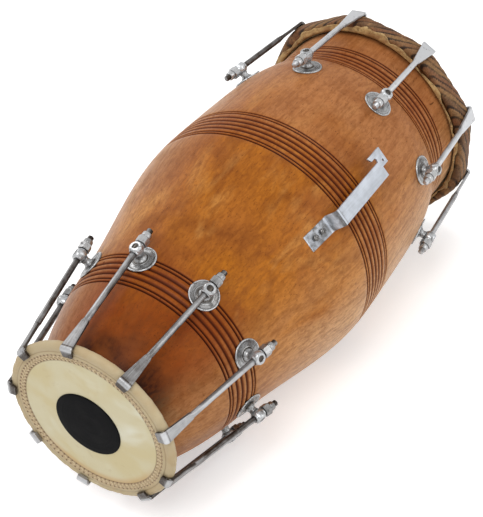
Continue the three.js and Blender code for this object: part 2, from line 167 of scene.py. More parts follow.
def smoothBy(obj, degrees):
    choose(obj)
    bpy.ops.object.shade_smooth_by_angle(angle=math.radians(degrees))


def joined(first, *others):
    choose(first, *others)
    bpy.ops.object.join()
    return first


def keepValues(obj, name, values):
    obj.data.attributes.new(name, "FLOAT", "POINT").data.foreach_set("value", values)


# keeps where each point lies on the piece itself, which copy it is and how bright it is, for the materials
def keepLocal(obj, copyNumber, tone):
    mesh = obj.data
    local = mesh.attributes.new("local", "FLOAT_VECTOR", "POINT")
    local.data.foreach_set("vector", [c / 1000 for v in mesh.vertices for c in v.co])
    keepValues(obj, "copyNumber", [copyNumber] * len(mesh.vertices))
    keepValues(obj, "tone", [tone] * len(mesh.vertices))


def setIntoPlace(obj, matrix):
    obj.matrix_world = matrix
    choose(obj)
    bpy.ops.object.transform_apply(location=True, rotation=True, scale=True)


def settled(obj, degrees, place=drumPlace):
    smoothBy(obj, degrees)
    setIntoPlace(obj, place)
    return obj


def copyOf(model, name):
    made = model.copy()
    made.data = model.data.copy()
    made.name = made.data.name = name
    bpy.context.collection.objects.link(made)
    return made


def finishPiece(obj, body, slotName, material, *nodes):
    obj.data.materials.clear()
    obj.data.materials.append(material)
    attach(obj, body)
    if nodes:
        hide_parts(*nodes)


# Helpers for materials. New nodes go into the tree that was opened last.

opened = {}


def newMaterial(name):
    material = bpy.data.materials.new(name)
    material.use_nodes = True
    opened["tree"] = material.node_tree
    return material, material.node_tree.nodes["Principled BSDF"]


def feed(node, inputs):
    for name, value in inputs.items():
        if isinstance(value, bpy.types.NodeSocket):
            opened["tree"].links.new(value, node.inputs[name])
        else:
            node.inputs[name].default_value = value


def put(kind, inputs=None, **settings):
    made = opened["tree"].nodes.new("ShaderNode" + kind)
    for name, value in settings.items():
        setattr(made, name, value)
    feed(made, inputs or {})
    return made.outputs


def maths(operation, a, b=0.0, clamp=False):
    return put("Math", {0: a, 1: b}, operation=operation, use_clamp=clamp)[0]


def times(first, *others):
    for other in others:
        first = maths("MULTIPLY", first, other)
    return first


def plus(first, *others):
    for other in others:
        first = maths("ADD", first, other)
    return first


def minus(a, b):
    return maths("SUBTRACT", a, b)


def awayFrom(value, middle):
    return maths("ABSOLUTE", minus(value, middle))


def between(value, low, high, outLow=0.0, outHigh=1.0, smooth=True):
    inputs = {"Value": value, "From Min": low, "From Max": high, "To Min": outLow, "To Max": outHigh}
    return put("MapRange", inputs, interpolation_type="SMOOTHSTEP" if smooth else "LINEAR")["Result"]


# 1 from b to c, fading out to a and d
def window(value, a, b, c, d):
    return times(between(value, a, b), between(value, d, c))


def noise(where, scale, detail=3.0, rough=0.55, distort=0.0, fourth=None):
    inputs = {"Vector": where, "Scale": scale, "Detail": detail, "Roughness": rough, "Distortion": distort}
    if fourth is not None:
        inputs["W"] = fourth
    return put("TexNoise", inputs, noise_dimensions="3D" if fourth is None else "4D")["Fac"]


mixSockets = {"amount": 0, "a": 6, "b": 7, "result": 2}  # those that a Mix node shows for colours


def blend(amount, a, b):
    inputs = {mixSockets["amount"]: amount, mixSockets["a"]: a, mixSockets["b"]: b}
    return put("Mix", inputs, data_type="RGBA")[mixSockets["result"]]


# tones laid over a colour: each layer has its mask, how strongly it covers, and the tone's name
def layered(colour, tone, *layers):
    for mask, amount, name in layers:
        colour = blend(times(mask, amount), colour, tone[name])
    return colour


# a value raised or lowered in places: each change has its mask and its amount
def changed(value, *changes):
    return plus(value, *(times(mask, amount) for mask, amount in changes))


def stretched(vector, along):
    return put("VectorMath", {0: vector, 1: (along, 1, 1)}, operation="MULTIPLY")[0]


def partsOf(vector):
    return put("SeparateXYZ", {0: vector})


def lengthOf(x, y):
    return put("VectorMath", {0: put("CombineXYZ", {"X": x, "Y": y})[0]}, operation="LENGTH")["Value"]


def bumped(height, strength, distance):
    return put("Bump", {"Height": height, "Strength": strength, "Distance": distance})[0]


def rgb(red, green, blue):
    linear = [(c / 255 / 12.92) if c <= 10 else ((c / 255 + 0.055) / 1.055) ** 2.4 for c in (red, green, blue)]
    return (*linear, 1.0)


def tonesOf(table):
    return {name: rgb(*value) for name, value in table.items()}


# the drum's own coordinates, in metres along its axis, from Object coordinates
def drumCoordinates():
    inputs = {"Vector": put("TexCoord")["Object"], "Location": drumOrigin, "Rotation": drumTurn.to_euler()}
    return put("Mapping", inputs, vector_type="TEXTURE")["Vector"]


def attributeOf(name, output="Fac"):
    return put("Attribute", attribute_name=name)[output]


# Effects that several materials share, each a node group that gives a mask

def newGroup(name, numbers):
    tree = bpy.data.node_groups.new(name, "ShaderNodeTree")
    tree.interface.new_socket(name="Vector", in_out="INPUT", socket_type="NodeSocketVector")
    for label, value in numbers.items():
        socket = tree.interface.new_socket(name=label, in_out="INPUT", socket_type="NodeSocketFloat")
        socket.default_value = value
    tree.interface.new_socket(name="Mask", in_out="OUTPUT", socket_type="NodeSocketFloat")
    opened["tree"] = tree
    return tree, tree.nodes.new("NodeGroupInput").outputs, tree.nodes.new("NodeGroupOutput")


# cloudy patches with a soft or a hard edge
def makePatchesGroup():
    tree, given, result = newGroup(
        "patches", {"Scale": 10.0, "Detail": 3.0, "Warp": 0.2, "Seed": 0.0, "Low": 0.4, "High": 0.6})
    cloud = noise(given["Vector"], given["Scale"], given["Detail"], 0.55, given["Warp"], given["Seed"])
    feed(result, {"Mask": between(cloud, given["Low"], given["High"])})
    return tree


# fine marks of use that cross each other
def makeScratchesGroup():
    tree, given, result = newGroup("scratches", {"Seed": 0.0, "Size": 900.0})
    marks = []
    for turn in ((12, 25, 18), (-30, 10, -42), (5, -50, 75)):
        inputs = {"Vector": given["Vector"], "Rotation": [math.radians(d) for d in turn], "Scale": (0.05, 1, 1)}
        lengthened = put("Mapping", inputs)["Vector"]
        marks.append(between(noise(lengthened, given["Size"], 2, 0.5, 0, given["Seed"]), 0.62, 0.74))
    feed(result, {"Mask": maths("MAXIMUM", maths("MAXIMUM", marks[0], marks[1]), marks[2])})
    return tree


# dirt that has dried in spots and streaks
def makeGrimeGroup():
    tree, given, result = newGroup("grime", {"Seed": 0.0, "Amount": 0.5})
    broad = noise(given["Vector"], 210, 3, 0.6, 0.4, given["Seed"])
    spots = noise(given["Vector"], 900, 2, 0.6, 0.2, given["Seed"])
    both = plus(times(broad, 0.65), times(spots, 0.35))
    edge = minus(0.68, times(given["Amount"], 0.32))
    feed(result, {"Mask": between(minus(both, edge), -0.05, 0.07)})
    return tree


patchesGroup, scratchesGroup, grimeGroup = makePatchesGroup(), makeScratchesGroup(), makeGrimeGroup()


def patches(where, scale, low, high, detail=3.0, warp=0.2, seed=0.0):
    inputs = {"Vector": where, "Scale": scale, "Detail": detail, "Warp": warp, "Seed": seed, "Low": low, "High": high}
    return put("Group", inputs, node_tree=patchesGroup)["Mask"]


# Camera

cameraSizes = {
    "place": (-0.90101, -0.71942, 0.92585),
    "right": (0.53025, -0.83387, -0.15326),
    "up": (0.56238, 0.21066, 0.79959),
    "back": (-0.63447, -0.51018, 0.58066),
    "lens": 117.68, "sensor": 36, "near": 0.05, "far": 50,
}


def makeCamera():
    data = bpy.data.cameras.new("camera")
    camera = bpy.data.objects.new("camera", data)
    bpy.context.collection.objects.link(camera)
    turn = Matrix([cameraSizes[name] for name in ("right", "up", "back")]).transposed().to_4x4()
    camera.matrix_world = Matrix.Translation(cameraSizes["place"]) @ turn
    data.lens, data.sensor_width = cameraSizes["lens"], cameraSizes["sensor"]
    data.clip_start, data.clip_end = cameraSizes["near"], cameraSizes["far"]
    bpy.context.scene.camera = camera


makeCamera()
print("camera made")


# Floor, world and lamps

white = (1, 1, 1, 1)
studio = {
    "floorSize": 30, "floorHeight": -0.0006, "floorColour": (0.9, 0.9, 0.9, 1), "floorRoughness": 0.9,
    "floorGlow": 0.42, "worldLight": 0.62, "aim": (0, 0, 0.1),
    "key": ((-1.1, -0.5, 1.9), 1.1, 17), "fill": ((0.5, -1.7, 1.0), 1.2, 7),  # each lamp's place, size and power
    "back": ((0.4, 1.5, 1.6), 1.0, 9),
}


def makeLamp(name, place, size, power):
    data = bpy.data.lights.new(name, "AREA")
    data.shape, data.size, data.energy = "SQUARE", size, power
    lamp = bpy.data.objects.new(name, data)
    bpy.context.collection.objects.link(lamp)
    lamp.location = place
    lamp.rotation_mode = "QUATERNION"
    lamp.rotation_quaternion = (Vector(studio["aim"]) - Vector(place)).to_track_quat("-Z", "Y")


def seenDirectly():
    path = put("LightPath")
    seen = maths("MAXIMUM", path["Is Camera Ray"], path["Is Glossy Ray"])
    return maths("MAXIMUM", seen, path["Is Transmission Ray"])


def makeStudio():
    deselect()
    bpy.ops.mesh.primitive_plane_add(size=studio["floorSize"], location=(0, 0, studio["floorHeight"]))
    floor = bpy.context.object
    floor.name = "floor"
    material, shader = newMaterial("paleFloor")
    feed(shader, {"Base Color": studio["floorColour"], "Roughness": studio["floorRoughness"],
                  "Specular IOR Level": 0.0})
    glow, none = put("Emission", {"Color": white, "Strength": studio["floorGlow"]}), put("Emission", {"Strength": 0.0})
    chosen = put("MixShader", {0: seenDirectly(), 1: none[0], 2: glow[0]})
    added = put("AddShader", {0: shader.outputs[0], 1: chosen[0]})
    feed(material.node_tree.nodes["Material Output"], {"Surface": added[0]})
    floor.data.materials.append(material)
    world = bpy.data.worlds.new("studioWorld")
    bpy.context.scene.world = world
    world.use_nodes = True
    opened["tree"] = world.node_tree
    light = world.node_tree.nodes["Background"]
    feed(light, {"Color": white, "Strength": studio["worldLight"]})
    pure = put("Background", {"Color": white, "Strength": 1.0})
    chosen = put("MixShader", {0: seenDirectly(), 1: light.outputs[0], 2: pure[0]})
    feed(world.node_tree.nodes["World Output"], {"Surface": chosen[0]})
    for name in ("key", "fill", "back"):
        makeLamp(name, *studio[name])
    bpy.context.scene.view_settings.view_transform = "Standard"


makeStudio()
print("studio made")


# Wood shell

shellSizes = {
    "start": 1.9, "end": 444.3, "bellyStation": 245, "bellyRadius": 110,
    "trebleMouthRadius": 54.2, "bassMouthRadius": 90,
    "wall": 12, "lipWall": 8, "lipDepth": 18, "under": 0.2, "insideStations": (368, 343, 300, 245, 172, 112, 86),
    "step": 4.0, "around": 200, "grooveDepth": 1.25, "edgeGrooveHalf": 1.5, "grooveHalf": 2.6, "softGroove": 0.8,
}
trebleShares = [(0, 0), (0.1, 0.185), (0.2, 0.34), (0.3, 0.455), (0.4, 0.535),
                (0.5, 0.61), (0.6, 0.705), (0.7, 0.81), (0.8, 0.907), (0.9, 0.977)]
bassShares = [(0.2, 0.9), (0.34, 0.81), (0.46, 0.71), (0.57, 0.56), (0.64, 0.39),
              (0.7, 0.21), (0.76, 0.055), (0.84, 0.01), (1, 0)]
grooveLines = [
    (74, 77.1, 82.55, 88, 93.45, 98.9, 102),
    (236, 239.1, 244.8, 250.4, 255.9, 261.6, 267.4, 270.5),
    (380, 383.1, 388.8, 394.5, 400.2, 405.9, 409),
]


def outlinePoints():
    size = shellSizes
    belly = size["bellyStation"]
    first = [(size["start"] + way * (belly - size["start"]),
              size["trebleMouthRadius"] + swell * (size["bellyRadius"] - size["trebleMouthRadius"]))
             for way, swell in trebleShares]
    last = [(belly + way * (size["end"] - belly),
             size["bassMouthRadius"] + swell * (size["bellyRadius"] - size["bassMouthRadius"]))
            for way, swell in bassShares]
    return first + [(belly, size["bellyRadius"])] + last


shellOutline = outlinePoints()


def outlineSlope(index):
    before, after = shellOutline[max(index - 1, 0)], shellOutline[min(index + 1, len(shellOutline) - 1)]
    return (after[1] - before[1]) / (after[0] - before[0])


def shellRadius(station):
    index = max(0, min(sum(point[0] <= station for point in shellOutline) - 1, len(shellOutline) - 2))
    (s0, r0), (s1, r1) = shellOutline[index], shellOutline[index + 1]
    span = s1 - s0
    t = min(max((station - s0) / span, 0), 1)
    pull = outlineSlope(index) * span * t * (1 - t) ** 2
    push = outlineSlope(index + 1) * span * t * t * (1 - t)
    return r0 + (r1 - r0) * t * t * (3 - 2 * t) + pull - push


def shellSlope(station):
    return (shellRadius(station + 1) - shellRadius(station - 1)) / 2


grooveShape = [(-1.0, 0), (-0.72, 0.12), (-0.36, 0.66), (0, 1), (0.36, 0.66), (0.72, 0.12), (1.0, 0)]


def grooveHalves():
    size = shellSizes
    for band in grooveLines:
        for place, line in enumerate(band):
            yield line, size["grooveHalf"] if 2 <= place <= len(band) - 3 else size["edgeGrooveHalf"]


def grooveShareAt(station):
    share = 0.0
    for line, half in grooveHalves():
        away = (station - line) / half
        for (x0, d0), (x1, d1) in zip(grooveShape, grooveShape[1:]):
            if x0 <= away <= x1:
                share = max(share, d0 + (d1 - d0) * (away - x0) / (x1 - x0))
    return share


def shellStations():
    size = shellSizes
    count = int((size["end"] - size["start"]) / size["step"])
    wanted = {size["start"] + (size["end"] - size["start"]) * i / count for i in range(count)}
    wanted = {s for s in wanted if all(abs(s - line) > 1.3 * half for line, half in grooveHalves())}
    wanted |= {line + away * half for line, half in grooveHalves() for away, _ in grooveShape}
    return sorted(wanted | {size["start"], size["end"]})


def makeShell():
    size = shellSizes
    start, end, lip = size["start"], size["end"], size["lipDepth"]
    outside = [(s, shellRadius(s) - size["under"] - size["grooveDepth"] * grooveShareAt(s)) for s in shellStations()]
    inside = [(s, shellRadius(s) - size["wall"]) for s in (end - lip, *size["insideStations"], start + lip)]
    mouths = [(end, shellRadius(end) - size["lipWall"])]
    closing = [(start, size["trebleMouthRadius"] - size["lipWall"]), outside[0]]
    shell = turned("wood_shell", outside + mouths + inside + closing, size["around"])
    grooves, bands = [], []
    for vertex in shell.data.vertices:
        station, radius = vertex.co.x, math.hypot(vertex.co.y, vertex.co.z)
        outer = radius > shellRadius(station) - 2
        thin = any(abs(station - line) < half + 0.1 and half < size["grooveHalf"] for line, half in grooveHalves())
        grooves.append(grooveShareAt(station) * (1 if thin else size["softGroove"]) if outer else 0.0)
        bands.append(float(outer and any(band[0] - 1 < station < band[-1] + 1 for band in grooveLines)))
    keepValues(shell, "groove", grooves)
    keepValues(shell, "band", bands)
    return settled(shell, 40)


woodTones = {
    "amber": (178, 106, 26), "tan": (168, 100, 40), "brown": (112, 56, 18), "pale": (206, 148, 80),
    "pink": (180, 122, 78), "redBrown": (124, 50, 12), "burntAndShadow": (38, 11, 4), "pore": (66, 28, 8),
    "groove": (50, 15, 3), "grooveSide": (104, 42, 12), "land": (150, 76, 32), "sheenPale": (212, 160, 106),
    "wornAndSheen": (226, 186, 144), "rust": (142, 78, 32),
}


def woodMaterial():
    material, shader = newMaterial("varnishedWood")
    tone = tonesOf(woodTones)
    where = drumCoordinates()
    parts = partsOf(where)
    station = parts["X"]
    around = maths("ARCTAN2", times(parts["Y"], -1), parts["Z"])  # 0 at the top, growing towards the strap hook
    broad = patches(where, 9, 0.38, 0.62, 2, 0.5, 1.0)
    flame = patches(stretched(where, 0.75), 34, 0.44, 0.68, 4, 0.9, 2.3)
    shine = patches(stretched(where, 0.4), 46, 0.5, 0.72, 3, 0.6, 7.1)
    # the treble end is red-brown, and scorched beside the head on the side in view
    ragged = patches(where, 26, 0.3, 0.7, 3, 0.6, 4.0)
    trebleEdge = plus(station, times(ragged, 0.035))
    facing = window(around, -0.25, 0.12, 1.3, 1.72)
    patchy = between(patches(where, 55, 0.38, 0.58, 3, 0.8, 11.0), 0, 1, 0.5, 1)
    scorch = times(between(trebleEdge, 0.074, 0.026), facing, patchy)
    darkRim = times(between(plus(station, times(ragged, 0.012)), 0.050, 0.022), facing)
    # reddish stains, most of them round the bass end
    stain = maths("ADD", patches(where, 25, 0.47, 0.68, 3, 0.7, 23.0), between(station, 0.392, 0.428, 0, 0.5), True)
    # painted sheen: pale patches down the strap hook's side, and paler bands on that side towards the treble end and
    # down the other side
    side = times(window(around, 0.95, 1.65, 2.3, 2.9), patches(stretched(where, 0.4), 21, 0.3, 0.55, 3, 0.6, 17.0))
    low = times(between(around, 1.45, 2.0), between(station, 0.11, 0.2))
    wornAndSheen = plus(times(low, 0.6), times(window(around, -2.9, -2.3, -0.75, -0.05), 0.35))
    lines = patches(stretched(where, 0.035), 300, 0.42, 0.66, 3, 0.5, 5.0)
    pores = patches(stretched(where, 0.16), 1500, 0.60, 0.70, 2, 0.0, 3.0)
    groove = attributeOf("groove")
    base = layered(
        tone["amber"], tone, (broad, 1, "tan"), (flame, 0.55, "brown"), (shine, 0.45, "pale"),
        (between(plus(station, times(broad, 0.04)), 0.25, 0.34), 0.72, "pink"),
        (between(trebleEdge, 0.155, 0.07), 0.8, "redBrown"), (scorch, 0.9, "burntAndShadow"), (darkRim, 0.88, "burntAndShadow"),
        # painted sheen down both sides of the drum
        (stain, 0.5, "rust"), (side, 0.5, "sheenPale"), (wornAndSheen, 1, "wornAndSheen"),
        (between(plus(station, times(ragged, 0.006)), 0.4285, 0.4350), 0.35, "burntAndShadow"),  # painted shadow on the wood beside the bass skin's edge
        (lines, 0.34, "brown"), (patches(stretched(where, 0.5), 320, 0.42, 0.64, 3, 0.9, 15.0), 0.3, "brown"),
        (pores, 0.6, "pore"), (patches(stretched(where, 0.45), 210, 0.73, 0.78, 2, 0.4, 9.0), 0.75, "pore"),
        (attributeOf("band"), 0.15, "land"), (between(groove, 0.04, 0.4), 0.75, "grooveSide"),
        (between(groove, 0.3, 0.85), 0.92, "groove"))
    polish = maths("MAXIMUM", between(flame, 0, 1, 0.36, 0.48), times(groove, 0.9))
    feed(shader, {"Base Color": base, "Roughness": polish, "Specular IOR Level": 0.07, "Coat Weight": 0.02,
                  "Coat Roughness": 0.25, "Normal": bumped(minus(times(lines, 0.4), pores), 0.2, 0.0004)})
    return material


shellPiece = makeShell()
finishPiece(shellPiece, "drum", "wood", woodMaterial(), "shell")
print("shell made", len(shellPiece.data.polygons))


# Steel finishes. Each has a light and a dark metal, and the tone of each copy lies between them.

steelTones = {
    "lug": {"light": (200, 202, 204), "dark": (72, 66, 60), "dirt": (34, 28, 22), "rough": 0.27, "dirty": 0.4,
            "metal": 0.85},
    "rod": {"light": (196, 197, 199), "dark": (62, 54, 48), "dirt": (60, 44, 32), "rough": 0.36, "dirty": 0.2,
            "metal": 0.8},
    "nut": {"light": (206, 207, 208), "dark": (74, 70, 66), "dirt": (34, 30, 26), "rough": 0.24, "dirty": 0.28,
            "metal": 0.85},
    "plate": {"light": (190, 195, 203), "dark": (86, 84, 82), "dirt": (84, 76, 68), "rough": 0.4, "dirty": 0.1,
              "metal": 0.75},
}


def steelMaterial(kind, addTone):
    tone = steelTones[kind]
    light, dark, dried = (rgb(*tone[name]) for name in ("light", "dark", "dirt"))
    material, shader = newMaterial(kind + "Steel")
    local, seed = attributeOf("local", "Vector"), attributeOf("copyNumber")
    clouds = patches(local, 140, 0.3, 0.7, 3, 0.3, seed)
    brushed = patches(stretched(local, 0.04), 1300, 0.32, 0.68, 2, 0, seed)
    cloudy, lined = between(clouds, 0, 1, -0.1, 0.1, False), between(brushed, 0, 1, -0.06, 0.06, False)
    share, height = addTone(local, plus(attributeOf("tone"), cloudy, lined))
    marks = put("Group", {"Vector": local, "Seed": seed, "Size": 1500}, node_tree=scratchesGroup)["Mask"]
    dirt = put("Group", {"Vector": local, "Seed": seed, "Amount": tone["dirty"]}, node_tree=grimeGroup)["Mask"]
    colour = blend(maths("ADD", share, 0.0, clamp=True), dark, light)
    colour = blend(times(dirt, 0.6), blend(times(marks, 0.28), colour, light), dried)
    rough = between(clouds, 0, 1, tone["rough"] - 0.05, tone["rough"] + 0.08, False)
    height = changed(height, (marks, -0.4), (clouds, 0.5))
    feed(shader, {"Base Color": colour, "Metallic": between(dirt, 0, 1, tone["metal"], 0.3, False),
                  "Roughness": plus(rough, times(dirt, 0.22)), "Normal": bumped(height, 0.25, 0.0003)})
    return material


# machining rings on the washer, painted shade round its hub, on the neck and in the head's recess, and painted
# highlights on the washer's rim and on the head
def lugTone(local, share):
    parts = partsOf(local)
    high, radius = parts["Z"], lengthOf(parts["X"], parts["Y"])
    onWasher = between(high, 0.0024, 0.0018)
    rings = noise(put("CombineXYZ", {"X": radius})[0], 1500, 2, 0.6, 0.0, attributeOf("copyNumber"))
    share = changed(
        share,
        (onWasher, between(rings, 0.35, 0.65, -0.5, 0.3, False)),
        (times(between(radius, 0.0112, 0.0119), onWasher), 0.45),  # painted highlight on the rim
        (times(between(radius, 0.0074, 0.0058), onWasher), -0.35),  # painted shade round the hub
        (between(high, 0.0066, 0.0085), 0.3),  # painted highlight on the head
        (times(between(radius, 0.0028, 0.0023), between(high, 0.0135, 0.0142)), -0.85),  # painted shade in the recess
        (window(high, 0.0030, 0.0045, 0.0070, 0.0082), -0.1))  # painted shade on the neck
    return share, times(rings, onWasher)


# a rod has painted shade along its flanks and underside, on its blade's side faces, before its fold and on its tip,
# painted highlights along its top and on its fold, and its blade is lighter
def rodTone(local, share):
    parts = partsOf(local)
    along, out, aside = parts["X"], parts["Z"], awayFrom(parts["Y"], 0)
    onRod, fromBend = between(along, 0.066, 0.060), attributeOf("fromBend")
    polish = between(attributeOf("tone"), 0.3, 0.9, -0.17, 0.12)  # the bright rods have the brighter blades too
    share = changed(
        share,
        (times(between(aside, 0.0012, 0.0022), onRod), -0.34),  # painted shade along the flanks
        (times(between(aside, 0.0011, 0.0004), onRod), 0.16),  # painted highlight along the top
        (between(along, 0.0605, 0.068), polish),
        (between(out, 0.0, -0.0024), -0.16),  # painted shade on the underside
        # painted shade on the blade's side faces
        (attributeOf("sideFace"), -0.55),
        (window(fromBend, -3.4, -2.6, -2.3, -1.7), -0.3),  # painted shade line before the fold
        (times(between(fromBend, -1.7, -1.1), between(out, -0.0022, -0.0012)), 0.4),  # painted highlight on the fold
        (between(out, -0.0024, -0.0036), -0.12),  # painted shade on the tip
        (between(along, -0.005, -0.009), -0.2))  # thread
    return share, noise(stretched(local, 0.25), 700, 2)


# painted highlights and painted shade along the strap hook's folds: where each light or dark line starts, is strongest
# and ends, in metres, and how strong
foldLightAndShade = ((0.1915, 0.1922, 0.1936, 0.6), (0.2152, 0.2172, 0.2192, 0.75), (0.2196, 0.2203, 0.2208, 0.5),
             (0.2210, 0.2216, 0.2222, -0.5), (0.2222, 0.2229, 0.2240, 0.35), (0.2236, 0.2244, 0.2252, -0.4))


# the strap hook's foot is darker, in patches, and painted highlights and painted shade lie along its folds
def plateTone(local, share):
    station = partsOf(local)["X"]
    footDarkening = between(patches(local, 160, 0.35, 0.65, 3, 0.6, 4.0), 0, 1, -0.35, -0.75)
    foldLightLines = [(window(station, start, middle, middle, end), amount) for start, middle, end, amount in foldLightAndShade]
    return changed(share, (between(station, 0.2222, 0.2212), footDarkening), *foldLightLines), noise(local, 500, 2)


def nutTone(local, share):
    return share, noise(local, 500, 2)


lugSteel, rodSteel = steelMaterial("lug", lugTone), steelMaterial("rod", rodTone)
nutSteel, plateSteel = steelMaterial("nut", nutTone), steelMaterial("plate", plateTone)


# Lugs, rods and nuts

lugSizes = {
    "washerRadius": 12.6, "washerRim": 1.15, "washerDish": 0.75, "washerHub": 1.5,
    "collarRadius": 5.0, "neckRadius": 3.2, "headRadius": 5.35, "eyeHeight": 11.4, "eyeRadius": 2.75,
    "headTop": 4.5, "headEnd": 4.5, "recessRadius": 2.7, "recessDeep": 1.25,
    "shankRadius": 3.0, "shankPast": 7.0, "nutFlats": 10, "nutHeight": 4, "gap": 0.3,
}
endSizes = {
    "treble": {"seatStation": 99.0, "reach": 100.493, "rodLean": 0.19621, "seatLean": 0.17485, "wallDepth": 12.28,
               "flareLength": 29.0, "barWidth": 10.8, "tipWidth": 9.2, "tipLength": 7.4},
    "bass": {"seatStation": 355.5, "reach": 90.405, "rodLean": 0.09334, "seatLean": 0.16216, "wallDepth": 12.73,
             "flareLength": 31.0, "barWidth": 13.8, "tipWidth": 11.4, "tipLength": 8.6},
}
rodSizes = {
    "radius": 2.5, "tail": 20.8, "barThick": 2.5, "bendRadius": 1.9, "flareRun": 4.0,
    "around": 24, "bendSteps": 5, "threadPitch": 0.8, "threadDepth": 0.3, "threads": 18,
}
nutSizes = {
    "fromEye": 5.6, "flats": 8.9, "hexLength": 6.2, "collarRadius": 3.9, "collarLength": 4.8, "boreRadius": 2.7,
}


def roundPin(name, radius, start, end, around=32, upright=False):
    return turned(name, [(start, 0), (start, radius), (end, radius), (end, 0)], around, upright)


def hexPin(name, flats, start, end, upright=False):
    return roundPin(name, flats / 2 / math.cos(math.pi / 6), start, end, 6, upright)


def makeWasher(name, seatRadius):
    size = lugSizes
    edge, rim, dish, hub = size["washerRadius"], size["washerRim"], size["washerDish"], size["washerHub"]
    washer = turned(name, [
        (-0.05, 0), (-0.05, edge - 0.25), (0.1, edge - 0.02), (0.45, edge), (0.85, edge - 0.12), (rim, edge - 0.5),
        (rim + 0.02, edge - 0.95), (0.92, edge - 1.35), (0.74, edge - 1.9), (dish, edge - 2.8),
        (0.80, edge - 4.6), (0.95, 6.6), (hub - 0.15, 5.9), (hub, 5.4), (hub, 0)], 72, upright=True)
    # bent to the shell's curve, lying on its side for the modifier
    setIntoPlace(washer, Matrix.Rotation(math.radians(-90), 4, "X"))
    addModifier(washer, "SIMPLE_DEFORM", deform_method="BEND", deform_axis="X", angle=-2 * edge / seatRadius)
    applyAll(washer)
    setIntoPlace(washer, Matrix.Rotation(math.radians(90), 4, "X"))
    return washer


def makeEyeHead():
    size = lugSizes
    ball, top, recess, end = size["headRadius"], size["headTop"], size["recessRadius"], size["headEnd"]
    floor = top - size["recessDeep"]
    head = turned("head", [
        (-5.0, 0), (-5.0, 3.2), (-4.4, 3.9), (-3.4, 4.6), (-2.0, 5.15), (0, ball), (2.2, ball - 0.05),
        (3.5, ball - 0.25), (top - 0.4, ball - 0.65), (top, ball - 1.15), (top, recess + 0.15), (top - 0.2, recess),
        (floor + 0.3, recess - 0.35), (floor, recess - 1.0), (floor + 0.1, 0)], 48, upright=True)
    for way in (-1, 1):
        deselect()
        bpy.ops.mesh.primitive_cube_add(size=12, location=(way * (end + 6), 0, 0))
        cutWith(head, bpy.context.object)
    lip = turned("lip", [(-end - 0.5, 0), (-end - 0.5, 3.75), (-end - 0.1, 4.1),
                         (end + 0.1, 4.1), (end + 0.5, 3.75), (end + 0.5, 0)], 40)
    cutWith(head, lip, "UNION")
    return head


def makeLugModel(side):
    size, end = lugSizes, endSizes[side]
    shank, collar, neck, middle = size["shankRadius"], size["collarRadius"], size["neckRadius"], size["eyeHeight"]
    below = -end["wallDepth"] - size["shankPast"]
    washer = makeWasher(side + "_washer", shellRadius(end["seatStation"]))
    post = turned(side + "_post", [
        (below, 0), (below, shank), (0.2, shank), (0.6, collar + 0.3), (1.9, collar), (2.3, collar - 0.3),
        (2.7, collar - 0.9), (3.3, neck + 0.5), (4.2, neck + 0.15), (5.2, neck),
        (middle - 5.3, neck + 0.3), (middle - 3, neck), (middle - 3, 0)], 40, upright=True)
    lean = Matrix.Translation((0, 0, middle)) @ Matrix.Rotation(end["rodLean"] - end["seatLean"], 4, "Y")
    head = makeEyeHead()
    setIntoPlace(head, lean)
    cutWith(post, head, "UNION")
    hole = roundPin("hole", size["eyeRadius"], -12, 12)
    setIntoPlace(hole, lean)
    cutWith(post, hole)
    nutTop = -end["wallDepth"] - size["gap"]
    innerNut = hexPin("innerNut", size["nutFlats"], nutTop - size["nutHeight"], nutTop, upright=True)
    cutWith(innerNut, roundPin("bore", shank, nutTop - 6, nutTop + 2, 40, upright=True))
    lug = joined(washer, post, innerNut)
    smoothBy(lug, 38)
    return lug


